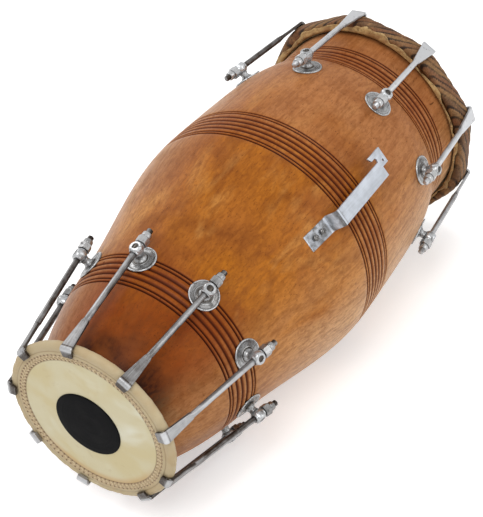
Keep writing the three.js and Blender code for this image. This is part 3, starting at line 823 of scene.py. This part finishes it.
def makeRodModel(side):
    size, end = rodSizes, endSizes[side]
    reach, radius, tail = end["reach"], size["radius"], -size["tail"]
    bendTurn = math.pi / 2 - end["rodLean"]
    trim = size["bendRadius"] * math.tan(bendTurn / 2)
    bendStart, flareStart = reach - trim, reach - end["flareLength"]
    deselect()
    bpy.ops.mesh.primitive_circle_add(vertices=size["around"], radius=radius, fill_type="NGON",
                                      location=(tail, 0, 0), rotation=(0, math.radians(90), 0))
    rod = bpy.context.object
    rod.name = rod.data.name = side + "_rod_model"
    bpy.ops.object.transform_apply(location=True, rotation=True, scale=True)
    editStart(rod, "FACE")
    bpy.ops.transform.resize(value=(1, 0.6, 0.6), center_override=(tail, 0, 0))
    rings = [(tail, 0.6, 0.6)]  # place along the rod, width and thickness as shares of the round bar's

    def growTo(x, wide, thick):
        lastX, lastWide, lastThick = rings[-1]
        bpy.ops.mesh.extrude_region_move(TRANSFORM_OT_translate={"value": (x - lastX, 0, 0)})
        bpy.ops.transform.resize(value=(1, wide / lastWide, thick / lastThick), center_override=(x, 0, 0))
        rings.append((x, wide, thick))

    growTo(tail + 0.25, 0.82, 0.82)
    growTo(tail + 0.55, 0.93, 0.93)
    pitch, root = size["threadPitch"], 1 - size["threadDepth"] / radius
    for turn in range(size["threads"]):
        for share, out in ((0, 1), (0.25, 1), (0.5, root), (0.7, root)):
            growTo(tail + 0.7 + (turn + share) * pitch, out, out)
    growTo(rings[-1][0] + 0.5, 1, 1)
    flatWide, flatThick = 1.27, 0.66
    for past, wide, thick in ((-0.6, 1, 1), (0, 1, 1), (0.5, 0.97, 0.9), (1.2, 1.12, 0.86), (2.4, 1.2, 0.78),
                              (size["flareRun"], flatWide, flatThick)):
        growTo(flareStart + past, wide, thick)
    barStart, endWide, endThick = rings[-1][0], end["barWidth"] / 2 / radius, size["barThick"] / 2 / radius
    for share in (0.25, 0.5, 0.75, 1.0):
        growTo(barStart + (bendStart - barStart) * share, flatWide + (endWide - flatWide) * share,
               flatThick + (endThick - flatThick) * share ** 0.5)
    bpy.ops.mesh.select_all(action="DESELECT")
    editEnd()
    sides = []
    for vertex in rod.data.vertices:  # squares the hammered blade's sections, which grow from round to flat
        _, wide, high = min(rings, key=lambda ring: abs(ring[0] - vertex.co.x))
        share = min(max((vertex.co.x - flareStart) / size["flareRun"], 0), 1)
        for axis, half in ((1, wide * radius), (2, high * radius)):
            away = vertex.co[axis] / half
            vertex.co[axis] = half * math.copysign(abs(away) ** (1 / (1 + 2.6 * share)), away)
        atSide = vertex.co.x > flareStart + 1 and abs(vertex.co.y) > 0.93 * wide * radius
        sides.append(max(1 - abs(vertex.co.z) / (0.8 * high * radius), 0) if atSide else 0.0)
    keepValues(rod, "sideFace", sides)
    bpy.ops.object.mode_set(mode="EDIT")
    pickVerts(rod, lambda co: co.x > bendStart - 0.01)
    bpy.ops.mesh.select_mode(type="FACE")
    bpy.ops.mesh.spin(steps=size["bendSteps"], angle=bendTurn,
                      center=(bendStart, 0, -size["bendRadius"]), axis=(0, -1, 0))
    inward = Vector((math.sin(end["rodLean"]), 0, -math.cos(end["rodLean"])))
    straight, least = end["tipLength"] - trim, end["tipWidth"] / end["barWidth"]
    done, wideNow = 0.0, 1.0
    for share, wide in ((0.1, 1.0), (0.5, 0.45 + 0.55 * least), (0.92, least), (1.0, least - 0.06)):
        bpy.ops.mesh.extrude_region_move(TRANSFORM_OT_translate={"value": inward * straight * (share - done)})
        centre = Vector((reach, 0, 0)) + inward * (trim + straight * share)
        bpy.ops.transform.resize(value=(1, wide / wideNow, 1), center_override=centre)
        done, wideNow = share, wide
    bpy.ops.mesh.select_all(action="SELECT")
    bpy.ops.mesh.normals_make_consistent(inside=False)
    editEnd()
    keepValues(rod, "fromBend", [vertex.co.x - reach for vertex in rod.data.vertices])
    smoothBy(rod, 32)
    return rod


def makeNutModel(side):
    size = nutSizes
    face, shoulder = -size["fromEye"], -size["fromEye"] - size["hexLength"]
    corner, out, end = size["flats"] / 2 / math.cos(math.pi / 6), size["collarRadius"], shoulder - size["collarLength"]
    nut = hexPin(side + "_nut_model", size["flats"], shoulder, face)
    crown = turned("crown", [
        (shoulder, 0), (shoulder, corner - 0.75), (shoulder + 0.35, corner - 0.25), (shoulder + 0.8, corner + 0.1),
        (face - 0.8, corner + 0.1), (face - 0.35, corner - 0.25), (face, corner - 0.75), (face, 0)], 48)
    cutWith(nut, crown, "INTERSECT")
    collar = turned("collar", [
        (shoulder + 0.2, 0), (shoulder + 0.2, out - 0.55), (shoulder - 0.45, out - 0.55), (shoulder - 0.6, out - 0.12),
        (shoulder - 0.8, out), (end + 0.7, out - 0.1), (end + 0.25, out - 0.35), (end, out - 0.85), (end, 0)], 32)
    cutWith(nut, collar, "UNION")
    cutWith(nut, roundPin("bore", size["boreRadius"], -20, 0))
    smoothBy(nut, 30)
    return nut


# how bright the steel of each unit is, partly its own tarnish and partly painted light, with lit and shaded copies of
# one steel; first the unit at the top and then down the strap hook's side
unitTones = {
    "treble": {"lug": (0.5, 0.42, 0.5, 0.45, 0.45, 0.5, 0.45, 0.4, 0.45),
               "rod": (0.46, 0.38, 0.6, 0.42, 0.5, 0.85, 0.85, 0.5, 0.4),
               "nut": (0.56, 0.38, 0.42, 0.34, 0.42, 0.55, 0.5, 0.35, 0.38)},
    "bass": {"lug": (0.46, 0.58, 0.48, 0.52, 0.5, 0.55, 0.5, 0.5, 0.75),
             "rod": (1.0, 1.05, 1.05, 0.9, 0.5, 0.6, 0.55, 0.5, 0.42),
             "nut": (0.72, 0.75, 0.66, 0.6, 0.55, 0.6, 0.6, 0.55, 0.75)},
}
bassCopies = 9.5  # added to a bass copy's number, so that its dirt lies elsewhere


# where the parts of one tuning unit go: along its rod, and square to the shell under its washer
def rodPlaceOf(side, k):
    eye = Vector(hingeOf[f"{side}_nut_{k}"]["pos_m"])
    along = Vector(slideOf[f"{side}_rod_{k}"]["axis"]).normalized()
    fromAxis = eye - drumOrigin
    outwards = (fromAxis - alongDrum * fromAxis.dot(alongDrum)).normalized()
    outwards = (outwards - along * outwards.dot(along)).normalized()
    turn = Matrix((along, outwards.cross(along), outwards)).transposed()
    return Matrix.Translation(eye) @ turn.to_4x4() @ Matrix.Scale(0.001, 4)


def makeTuningHardware(side):
    models = {"lug": makeLugModel(side), "rod": makeRodModel(side), "nut": makeNutModel(side)}
    lean = Matrix.Rotation(endSizes[side]["seatLean"] - endSizes[side]["rodLean"], 4, "Y")
    seatFromRod = lean @ Matrix.Translation((0, 0, -lugSizes["eyeHeight"]))
    for k in range(1, 10):
        rodPlace = rodPlaceOf(side, k)
        for kind, steel in (("lug", lugSteel), ("rod", rodSteel), ("nut", nutSteel)):
            piece = copyOf(models[kind], f"visible_{side}_{kind}_{k}")
            keepLocal(piece, k + (bassCopies if side == "bass" else 0), unitTones[side][kind][k - 1])
            setIntoPlace(piece, rodPlace @ seatFromRod if kind == "lug" else rodPlace)
            body = "drum" if kind == "lug" else f"{side}_{kind}_{k}"
            finishPiece(piece, body, kind + "_steel", steel, f"{side}_{kind}_{k}")
    for model in models.values():
        bpy.data.objects.remove(model)
    print(side, "hardware made")


for side in sides:
    makeTuningHardware(side)


# Strap hook

strapSizes = {
    "angle": 59, "footStart": 192.0, "footLength": 27.5, "riserRun": 1.5, "rise": 12.5, "plateLength": 82.0,
    "dip": 2.5, "width": 14.4, "thick": 2.0, "tipLength": 8.4, "tipShift": 8.6, "barbLength": 19.0, "barbWidth": 4.3,
    "barbSlant": 2.5, "slotLength": 10.0, "slotSlant": 1.4, "holeRadius": 1.1, "seatGap": 0.45, "seatFlat": 10,
    "screwFrom": 8.5, "screwStep": 8.6, "screwRadius": 2.6, "screwHigh": 1.1, "screwTurns": (28, -18),
    "slotWide": 0.8, "slotDeep": 0.6, "edge": 0.35, "tone": 0.88, "screwTone": 0.12,
}
footMiddle = strapSizes["footStart"] + strapSizes["footLength"] / 2
footEnd = strapSizes["footStart"] + strapSizes["footLength"]
plateStart = footEnd + strapSizes["riserRun"]
strapTip = plateStart + strapSizes["plateLength"]
strapTurn = Matrix.Rotation(math.radians(strapSizes["angle"]), 4, "X")


def strapHeight(station):
    size = strapSizes
    seat = shellRadius(footMiddle) * math.cos(math.radians(size["seatFlat"] / 2)) + size["seatGap"]
    slope = shellSlope(footMiddle)
    low = seat + slope * (footEnd - footMiddle)
    if station <= footEnd:
        return seat + slope * (station - footMiddle)
    if station >= plateStart:
        return low + size["rise"] - size["dip"] * (station - plateStart) / size["plateLength"]
    return low + size["rise"] * (station - footEnd) / size["riserRun"]


def strapPlan():
    size = strapSizes
    half, start, tip = size["width"] / 2, size["footStart"], strapTip
    shoulder, barbTop, barbEnd = tip - size["tipLength"], half + size["tipShift"], tip - size["barbLength"]
    barbInner, low, slot = barbTop - size["barbWidth"], barbTop - size["width"], tip - size["slotLength"]
    return [(start, -half), (shoulder, -half), (shoulder, low), (tip, low), (tip, barbTop), (barbEnd, barbTop),
            (barbEnd + size["barbSlant"], barbInner), (slot - size["slotSlant"], barbInner),
            (slot, (barbInner + half) / 2), (slot - size["slotSlant"] / 2, half), (start, half)]


def makeStrapHook():
    size = strapSizes
    plan = [(x, y, 0) for x, y in strapPlan()]
    strap = startPoint("visible_strap_hook", plan[0])
    drawLine(plan + plan[:1])
    bpy.ops.mesh.select_all(action="SELECT")
    bpy.ops.mesh.remove_doubles(threshold=0.001)
    bpy.ops.mesh.select_all(action="SELECT")
    bpy.ops.mesh.edge_face_add()
    for x in (footEnd - 1.6, footEnd - 0.7, footEnd, plateStart, plateStart + 0.7, plateStart + 1.6):
        bpy.ops.mesh.select_all(action="SELECT")
        bpy.ops.mesh.bisect(plane_co=(x, 0, 0), plane_no=(1, 0, 0))
    editEnd()
    for vertex in strap.data.vertices:
        vertex.co.z = strapHeight(vertex.co.x)
    addModifier(strap, "SOLIDIFY", thickness=size["thick"], offset=1)
    applyAll(strap)
    hole = roundPin("hole", size["holeRadius"], 90, 140, 24, upright=True)  # long enough to pass the raised plate
    across = size["tipShift"] / 2 + size["holeRadius"]
    setIntoPlace(hole, Matrix.Translation((strapTip - size["tipLength"] / 2, across, 0)))
    cutWith(strap, hole)
    addModifier(strap, "BEVEL", width=size["edge"], segments=2, limit_method="ANGLE", angle_limit=math.radians(40))
    applyAll(strap)
    turnOutwards(strap)
    keepLocal(strap, 0.3, size["tone"])
    return settled(strap, 35, drumPlace @ strapTurn)


def makeStrapScrew(number):
    size = strapSizes
    station = size["footStart"] + size["screwFrom"] + number * size["screwStep"]
    thick, out, top = size["thick"], size["screwRadius"], size["thick"] + size["screwHigh"]
    screw = turned(f"strap_screw_{number + 1}", [
        (-9, 0), (-8, 1.2), (thick - 0.3, 1.3), (thick - 0.3, out - 0.1), (thick + 0.25, out),
        (thick + 0.6, out - 0.35), (top - 0.15, out - 1.1), (top, 0)], 32, upright=True)
    deselect()
    bpy.ops.mesh.primitive_cube_add(size=1, location=(0, 0, top),
                                    scale=(size["slotWide"], 2 * out + 2, 2 * size["slotDeep"]))
    slot = bpy.context.object
    bpy.ops.object.transform_apply(location=True, rotation=True, scale=True)
    cutWith(screw, slot)
    keepLocal(screw, number, size["screwTone"])
    lean = Matrix.Rotation(-math.atan(shellSlope(footMiddle)), 4, "Y")
    spin = Matrix.Rotation(math.radians(size["screwTurns"][number]), 4, "Z")
    seat = Matrix.Translation((station, 0, strapHeight(station)))
    return settled(screw, 35, drumPlace @ strapTurn @ seat @ lean @ spin)


finishPiece(makeStrapHook(), "drum", "plate_steel", plateSteel, "strap_hook")
for number in (0, 1):
    finishPiece(makeStrapScrew(number), "drum", "plate_steel", nutSteel)
print("strap hook made")


# Treble head

trebleSizes = {
    "skinStation": 0.85, "skinThick": 0.9, "skinRadius": 61.6, "around": 288,
    "bandInner": 60.3, "bandOuter": 65.3, "bandStation": 0.55,
    "rollStation": 4.3, "rollMiddle": 71.2, "roll": 4.1, "rollStart": -28, "rollStep": 16, "rimDepth": 10.0,
    "stitches": 96, "stitchRows": ((61.8, 33), (63.9, -33)),  # radius and slant in degrees
    "stitchLong": 3.8, "stitchWide": 1.35, "stitchHigh": 0.85,
    "wrinkle": 0.3, "pasteRadius": 29.7, "pasteThick": 1.3, "pasteBack": 0.55, "pasteShift": (0, 2.2, -1.9),
    "layerStep": 3.1,
}


def makeTrebleSkin():
    size = trebleSizes
    front, back, out = size["skinStation"], size["skinStation"] + size["skinThick"], size["skinRadius"]
    return settled(turned("treble_skin", [
        (back, 0), (back, out), (front + 0.2, out), (front, out - 0.6), (front, 58), (front - 0.12, 52),
        (front - 0.25, 40), (front - 0.3, 24), (front - 0.3, 0)], 144), 40)


# The rim is skin rolled over a hoop: a sunk band for the stitches, the edge of a second layer, then the roll.
def makeTrebleRim():
    size = trebleSizes
    middle, roll, wide, deep = size["rollMiddle"], size["roll"], size["rollStation"], size["rimDepth"]
    inner, outer, sunk = size["bandInner"], size["bandOuter"], size["bandStation"]
    turns = [math.radians(size["rollStart"] + size["rollStep"] * i) for i in range(13)]
    rim = turned("treble_rim", [
        (1.5, inner + 0.2), (1.0, inner - 0.05), (sunk + 0.2, inner), (sunk, inner + 0.5), (sunk, outer),
        (0.35, outer + 0.4), (0.2, outer + 0.9), (0.22, outer + 2.4), (0.5, outer + 2.9),
        *[(wide - roll * math.cos(turn), middle + roll * math.sin(turn)) for turn in turns],
        (deep - 0.9, middle - 1.7), (deep - 0.3, middle - 3.0), (deep, middle - 5.0), (deep, 64.0),
        (deep - 0.2, 62.6), (2.4, 62.4), (1.5, inner + 0.2)], size["around"])
    for vertex in rim.data.vertices:  # small wrinkles where the skin is gathered over the hoop
        radius, turn = math.hypot(vertex.co.y, vertex.co.z), math.atan2(vertex.co.y, vertex.co.z)
        if radius <= outer + 1:
            continue
        fold = sum(high * math.sin(count * turn + sway * math.sin(slow * turn))
                   for high, count, sway, slow in ((1, 31, 1.7, 5), (0.7, 67, 2.2, 3), (0.8, 11, 0, 0)))
        share = min((radius - outer - 1) / 4, 1) * size["wrinkle"] * (fold - 1.6) / 2
        liftPoint(vertex, share / radius)
        if vertex.co.x < wide:
            vertex.co.x -= share * 0.5
    return settled(rim, 40)


# One stitch of each row, then both rows all the way round.
def makeStitches():
    size = trebleSizes
    rows = []
    for row, (radius, slant) in enumerate(size["stitchRows"]):
        deselect()
        bpy.ops.mesh.primitive_uv_sphere_add(segments=8, ring_count=6, radius=0.5, location=(0, 0, 0),
                                             rotation=(math.radians(90), 0, 0))
        stitch = bpy.context.object
        stitch.name = stitch.data.name = f"stitch_row_{row + 1}"
        bpy.ops.object.transform_apply(location=True, rotation=True, scale=True)
        editStart(stitch)
        bpy.ops.transform.resize(value=(size["stitchHigh"], size["stitchLong"], size["stitchWide"]),
                                 center_override=(0, 0, 0))
        editEnd()
        seat = Matrix.Translation((size["bandStation"] - 0.18, 0, radius))
        setIntoPlace(stitch, seat @ Matrix.Rotation(math.radians(slant), 4, "X"))
        step = bpy.data.objects.new("step", None)
        bpy.context.collection.objects.link(step)
        step.rotation_euler = (2 * math.pi / size["stitches"], 0, 0)
        bpy.context.view_layer.update()
        addModifier(stitch, "ARRAY", count=size["stitches"], use_relative_offset=False,
                    use_object_offset=True, offset_object=step)
        applyAll(stitch)
        bpy.data.objects.remove(step)
        rows.append(stitch)
    stitches = joined(*rows)
    stitches.name = stitches.data.name = "treble_stitches"
    return settled(stitches, 60)


def makePaste():
    size = trebleSizes
    back, out, face = size["pasteBack"], size["pasteRadius"], size["pasteBack"] - size["pasteThick"]
    outline = [(back + 0.4, 0), (back + 0.4, out - 0.6), (back, out - 0.15), (back - 0.3, out),
               (back - 0.65, out - 0.35), (face + 0.35, out - 1.6), (face + 0.2, out - 3.2)]
    radius = out - 5.0
    while radius > 1.5:  # low steps where the rubbed layers end
        outline += [(face + 0.1, radius), (face + 0.02, radius - 0.8)]
        radius -= size["layerStep"]
    paste = turned("visible_tuning_paste", outline + [(face, 0)], 96)
    return settled(paste, 50, drumPlace @ Matrix.Translation(size["pasteShift"]))


skinTones = {
    "cream": (208, 198, 164), "yellow": (203, 184, 132), "pale": (222, 219, 200), "tan": (178, 152, 112),
    "rim": (186, 168, 134), "stained": (196, 152, 92), "band": (188, 166, 132), "hole": (98, 70, 50),
    "line": (112, 86, 60), "stitch": (212, 193, 158), "stitchDark": (176, 148, 116),
}


# the rolled rim's tan, the paler band under the stitches, and a stain along the rim's lower inside
def rimColour(colour, tone, where, parts, radius, pale):
    inner, outer = trebleSizes["bandInner"] / 1000, trebleSizes["bandOuter"] / 1000
    onRim = between(radius, inner - 0.0004, inner + 0.0002)
    onBand = times(onRim, between(radius, outer + 0.0012, outer + 0.0002))
    crescent = times(between(radius, 0.053, 0.0595), between(parts["Z"], -0.02, -0.05))
    rim = layered(tone["rim"], tone, (patches(where, 55, 0.45, 0.65, 3, 0.5, 8.0), 0.5, "tan"), (pale, 0.35, "cream"))
    colour = blend(onRim, layered(colour, tone, (crescent, 0.55, "stained")), rim)
    colour = layered(colour, tone, (onBand, 1, "band"))
    # needle holes at both ends of each stitch, and the shade in the joints
    turn = maths("ARCTAN2", parts["Y"], parts["Z"])
    along = times(awayFrom(maths("FRACT", times(turn, trebleSizes["stitches"] / (2 * math.pi))), 0.5), 4.1)
    for holeRadius in (inner + 0.0006, outer - 0.0001):
        off = times(awayFrom(radius, holeRadius), 1000)
        away = plus(times(along, along), times(off, off))
        colour = layered(colour, tone, (between(away, 1.0, 0.2), 0.85, "hole"))
    # painted shade lines on the rim's face: in the joint inside the stitch band and at the edge of the second layer
    nearFace = between(parts["X"], 0.0025, 0.0018)
    for edge, wide, dark in ((inner - 0.0002, 0.0007, 0.42), (outer + 0.0031, 0.0006, 0.35)):
        line = times(between(awayFrom(radius, edge), wide, wide * 0.3), nearFace)
        colour = layered(colour, tone, (line, dark, "line"))
    return colour


def skinMaterialOf(name, rimmed):
    material, shader = newMaterial(name)
    tone, where = tonesOf(skinTones), drumCoordinates()
    parts = partsOf(where)
    yellow = patches(where, 26, 0.42, 0.66, 3, 0.6, 1.0)
    pale = patches(where, 19, 0.5, 0.7, 3, 0.8, 6.0)
    veins = patches(where, 70, 0.6, 0.72, 4, 1.2, 3.0)
    colour = layered(tone["cream"], tone, (yellow, 0.5, "yellow"), (pale, 0.95, "pale"), (veins, 0.22, "tan"))
    if rimmed:
        colour = rimColour(colour, tone, where, parts, lengthOf(parts["Y"], parts["Z"]), pale)
    height = changed(times(yellow, 0.5), (patches(where, 900, 0.3, 0.7, 2), 0.5))
    feed(shader, {"Base Color": colour, "Roughness": between(yellow, 0, 1, 0.5, 0.62), "Specular IOR Level": 0.25,
                  "Normal": bumped(height, 0.25, 0.0004)})
    return material


def stitchMaterialOf():
    material, shader = newMaterial("hideStitching")
    tone, where = tonesOf(skinTones), drumCoordinates()
    wornAndSheen = patches(where, 320, 0.4, 0.65, 3, 0.4, 2.0)
    # painted shade on the stitches where they go down into the band
    deep = between(partsOf(where)["X"], 0.0001, 0.0006)
    colour = layered(tone["stitch"], tone, (wornAndSheen, 0.5, "stitchDark"), (deep, 0.6, "hole"))
    feed(shader, {"Base Color": colour, "Roughness": 0.7, "Specular IOR Level": 0.2,
                  "Normal": bumped(wornAndSheen, 0.3, 0.0003)})
    return material


pasteTones = {"paste": (6, 6, 7), "ring": (22, 22, 24), "dust": (44, 43, 42)}


def pasteMaterialOf():
    material, shader = newMaterial("tuningPaste")
    tone, where = tonesOf(pasteTones), drumCoordinates()
    parts = partsOf(where)
    rings = noise(put("CombineXYZ", {"X": lengthOf(parts["Y"], parts["Z"])})[0], 900, 2)
    dust, grit = patches(where, 60, 0.45, 0.75, 3, 0.4, 5.0), patches(where, 1800, 0.35, 0.65, 2)
    colour = layered(tone["paste"], tone, (between(rings, 0.4, 0.62), 0.55, "ring"), (dust, 0.18, "dust"))
    feed(shader, {"Base Color": colour, "Roughness": between(rings, 0.3, 0.7, 0.55, 0.8),
                  "Specular IOR Level": 0.06, "Normal": bumped(changed(rings, (grit, 0.3)), 0.35, 0.0004)})
    return material


trebleSkin, bassSkin = skinMaterialOf("trebleSkin", True), skinMaterialOf("bassSkin", False)
finishPiece(makeTrebleSkin(), "drum", "parchment", trebleSkin)
finishPiece(makeTrebleRim(), "drum", "parchment", trebleSkin, "treble_head")
finishPiece(makeStitches(), "drum", "parchment", stitchMaterialOf())
finishPiece(makePaste(), "drum", "paste", pasteMaterialOf(), "tuning_paste")
print("treble head made")


# Bass head

bassSizes = {
    "face": 445.8, "skinThick": 1.2, "lapInside": 90.7, "lapEnd": 435.0,
    "rimBack": 427.6, "pulled": 6.5, "pulledTurn": 10,  # how much nearer the face the hoop's back lies, and where most
    "hoopInside": 92.6, "hoopMiddle": 100.7, "hoopPinch": 3.2, "around": 720, "hoopSteps": 14,
    "strips": 48, "stripSlant": 3.4, "stripDeep": 0.7,
    "flapThick": 0.8, "flapSteps": 720, "flapRows": 9, "flapTeeth": 130,
}
# how far the skin's dried edge stands out, by degrees from the top
flapRises = [
    (-40, 4), (-31, 7.5), (-22, 6), (-12, 8.5), (-3, 5), (6, 8), (13, 7.5), (18, 8), (21, 6), (23, 3), (27, 5),
    (35, 4.6), (39, 3), (43, 1.6), (46, 0.8), (54, 4), (61, 6), (63, 3), (66, 1.4), (74, 2), (80, 2.4), (85, 1),
    (90, 4), (97, 4.5), (101, 1.5), (112, 3), (125, 5), (131, 1.5), (146, 5), (158, 2), (170, 6), (181, 2),
    (196, 6.5), (212, 3), (226, 7), (238, 2), (251, 6), (263, 3), (277, 7), (289, 2.5), (303, 7), (314, 3), (320, 4)]


# the distance round the drum from the top towards the strap hook, as an angle
def turnOf(co):
    return math.atan2(-co.y, co.z)


# the hoop was pulled over the mouth further at the top than elsewhere
def rimBackAt(turn):
    fromTop = (turn + math.radians(bassSizes["pulledTurn"]) + math.pi) % (2 * math.pi) - math.pi
    near = max(math.cos(min(abs(1.2 * fromTop), math.pi / 2)), 0)
    return bassSizes["rimBack"] + bassSizes["pulled"] * near ** 1.5


def makeBassSkin():
    size = bassSizes
    face, out, lap, end = size["face"], size["hoopInside"] + 0.6, size["lapInside"], size["lapEnd"]
    back = face - size["skinThick"]
    return settled(turned("bass_skin", [
        (back, 0), (back, lap), (end, lap), (end, out - 0.8), (end + 1, out), (end + 4, out), (face - 0.8, out),
        (face - 0.2, out - 0.5), (face, out - 1.6), (face + 0.05, out - 9), (face, 60), (face - 0.05, 30),
        (face, 0)], 180), 40)


# Strips of hide wound at a slant round the hoop, one beside the other.
def makeBassHoop():
    size = bassSizes
    back, front, inside, middle = size["rimBack"], size["face"] + 0.4, size["hoopInside"], size["hoopMiddle"]
    centre, half = (back + front) / 2, (front - back) / 2
    corner = [(3.0, 0), (1.2, 1.2), (0.3, 3.2), (0, 5.2), (0.5, middle - 1.4 - inside)]  # along, out
    ways = [-1 + 2 * step / size["hoopSteps"] for step in range(size["hoopSteps"] + 1)]
    section = [(back + along, inside + up) for along, up in corner]
    section += [(centre + way * (half - 1.2), middle + 1.2 * (1 - abs(way) ** 2.6) - 0.3) for way in ways]
    section += [(front - along, inside + up) for along, up in corner[::-1]]
    hoop = turned("bass_hoop", section + section[:1], size["around"])
    strips, gaps = [], []
    for vertex in hoop.data.vertices:
        turn, radius = turnOf(vertex.co), math.hypot(vertex.co.y, vertex.co.z)
        vertex.co.x = front + (vertex.co.x - front) * (front - rimBackAt(turn)) / (front - back)
        way = (vertex.co.x - centre) / half
        up = min(max((radius - inside) / (middle - inside), 0), 1)
        lean = way / 2 * size["stripSlant"]
        wander = (0.3 * math.sin(5 * turn + 0.6) + 0.09 * math.sin(17 * turn + 2.1)
                  + 0.05 * math.sin(3.1 * lean + 13 * turn))
        phase = size["strips"] * turn / (2 * math.pi) - lean + wander
        number, share = math.floor(phase) % size["strips"], phase % 1.0
        ridge = min(share / 0.22, 1) ** 0.6 * min((1 - share) / 0.45, 1) ** 0.8
        own = math.sin(number * 12.9898) * 43758.5453 % 1.0  # a value of each strip's own
        lift = size["stripDeep"] * (ridge * (0.8 + 0.3 * own) - 0.85)
        lift += 0.1 * math.sin(5 * math.pi * share + 9 * own) * ridge
        lift += size["hoopPinch"] * 0.5 * math.cos(9 * turn)  # out at the nine rods, in between them
        liftPoint(vertex, lift * up / radius)
        vertex.co.x += math.copysign(0.35, way) * size["stripDeep"] * (ridge - 0.8) * up * abs(way) ** 3
        strips.append(own)
        # painted shade: how far down the falling side of its strip, or into the gap beside it, each point lies, for
        # the material
        gaps.append(max(min((share - 0.62) / 0.28, 1), 1 - share / 0.07, 0))
    keepValues(hoop, "strip", strips)
    keepValues(hoop, "gap", gaps)
    return settled(hoop, 60)


# how far the dried edge stands out at one angle: the listed rises, with small teeth between them
def flapRiseAt(turn, teeth):
    spot = (turn / (2 * math.pi) % 1.0) * len(teeth)
    low, high = teeth[int(spot) % len(teeth)], teeth[(int(spot) + 1) % len(teeth)]
    rough = low + (high - low) * (spot % 1.0)
    first = flapRises[0][0]
    degrees = (math.degrees(turn) - first) % 360 + first
    last = next(i for i, (place, _) in enumerate(flapRises) if place >= degrees)
    (fromPlace, fromRise), (toPlace, toRise) = flapRises[max(last - 1, 0)], flapRises[last]
    rise = fromRise + (toRise - fromRise) * (degrees - fromPlace) / max(toPlace - fromPlace, 0.001)
    return max(rise * (1 + 0.35 * rough), 0.5)


# The skin's own edge comes out below the hoop and has dried in ragged curls.
def makeBassFlap():
    size = bassSizes
    flap = startPoint("bass_flap", (0, 0, 1))
    drawLine([(row, 0, 1) for row in range(size["flapRows"])])
    spinUp(size["flapSteps"], (1, 0, 0))
    jitter = random.Random(14)
    teeth = [jitter.uniform(-0.5, 0.5) for _ in range(size["flapTeeth"])]
    edges = []
    for vertex in flap.data.vertices:
        turn, share = turnOf(vertex.co), vertex.co.x / (size["flapRows"] - 1)
        rise, back, slow = flapRiseAt(turn, teeth), rimBackAt(turn), math.sin(9 * turn)
        # the leaf bulges and its free edge leans back on the hoop
        belly = 0.35 * rise * math.sin(math.pi * min(share * 1.15, 1))
        fold = 0.09 * rise * share * math.sin(37 * turn + 2.4 * slow + 2.6 * share)
        station = back - 0.5 - belly - fold + 0.12 * rise * share ** 3
        radius = shellRadius(back) + 1.1 + rise * share + 0.09 * rise * math.sin(23 * turn + 4 * slow) * share ** 2
        if radius < size["hoopMiddle"] - 1:
            station = min(station, back - 0.45)
        radius = max(radius, shellRadius(station) + 0.75 + size["flapThick"])
        vertex.co = (station, -radius * math.sin(turn), radius * math.cos(turn))
        edges.append(share)
    keepValues(flap, "edge", edges)
    addModifier(flap, "SOLIDIFY", thickness=size["flapThick"], offset=-1)
    addModifier(flap, "BEVEL", width=0.2, segments=1, limit_method="ANGLE", angle_limit=math.radians(50))
    applyAll(flap)
    turnOutwards(flap)
    return settled(flap, 45)


hideTones = {
    "olive": (142, 106, 68), "brown": (126, 84, 54), "purple": (84, 54, 40), "light": (164, 122, 80),
    "gap": (22, 12, 7), "flap": (182, 146, 94), "flapEdge": (206, 174, 122), "flapDark": (136, 94, 52),
    "stain": (70, 42, 22),
}


def hoopMaterialOf():
    material, shader = newMaterial("twistedHide")
    tone, where = tonesOf(hideTones), drumCoordinates()
    strip, gap = attributeOf("strip"), attributeOf("gap")
    wornAndSheen = patches(where, 120, 0.5, 0.72, 3, 0.6, 2.0)
    fibres = patches(stretched(where, 0.5), 700, 0.4, 0.65, 3, 0.6)
    shade = between(patches(where, 75, 0.35, 0.6, 2, 0.5, 21.0), 0, 1, 0.45, 0.92)
    colour = layered(tone["brown"], tone, (between(strip, 0.2, 0.6), 1, "olive"),
                     (between(strip, 0.8, 0.9), 0.6, "purple"), (wornAndSheen, 0.75, "light"), (fibres, 0.35, "gap"),
                     # painted shade in the gaps and down each strip's falling side, stronger in patches
                     (between(gap, 0.1, 0.8), shade, "gap"))
    feed(shader, {"Base Color": colour, "Roughness": 0.62, "Specular IOR Level": 0.3,
                  "Normal": bumped(minus(wornAndSheen, fibres), 0.4, 0.0006)})
    return material


def flapMaterialOf():
    material, shader = newMaterial("driedHideEdge")
    tone, where, edge = tonesOf(hideTones), drumCoordinates(), attributeOf("edge")
    # darker streaks along the creases are painted shade; the free edge is paler and the leaf darker towards the hoop
    creases = patches(where, 240, 0.48, 0.6, 2, 1.4, 9.0)
    colour = layered(tone["flap"], tone, (patches(where, 60, 0.4, 0.65, 3, 0.6, 3.0), 1, "flapDark"),
                     (between(edge, 0.72, 0.98), 0.8, "flapEdge"), (between(edge, 0.3, 0.05), 0.85, "stain"),
                     (creases, 0.5, "flapDark"), (patches(where, 150, 0.56, 0.68, 3, 0.5, 6.0), 0.6, "stain"))
    fibres = patches(where, 650, 0.35, 0.65, 3, 0.5)
    feed(shader, {"Base Color": colour, "Roughness": 0.6, "Specular IOR Level": 0.3,
                  "Normal": bumped(minus(times(fibres, 0.5), creases), 0.6, 0.0008)})
    return material


finishPiece(makeBassSkin(), "drum", "parchment", bassSkin, "bass_head")
finishPiece(makeBassHoop(), "drum", "hide", hoopMaterialOf(), "bass_rim")
finishPiece(makeBassFlap(), "drum", "parchment", flapMaterialOf())
print("bass head made")
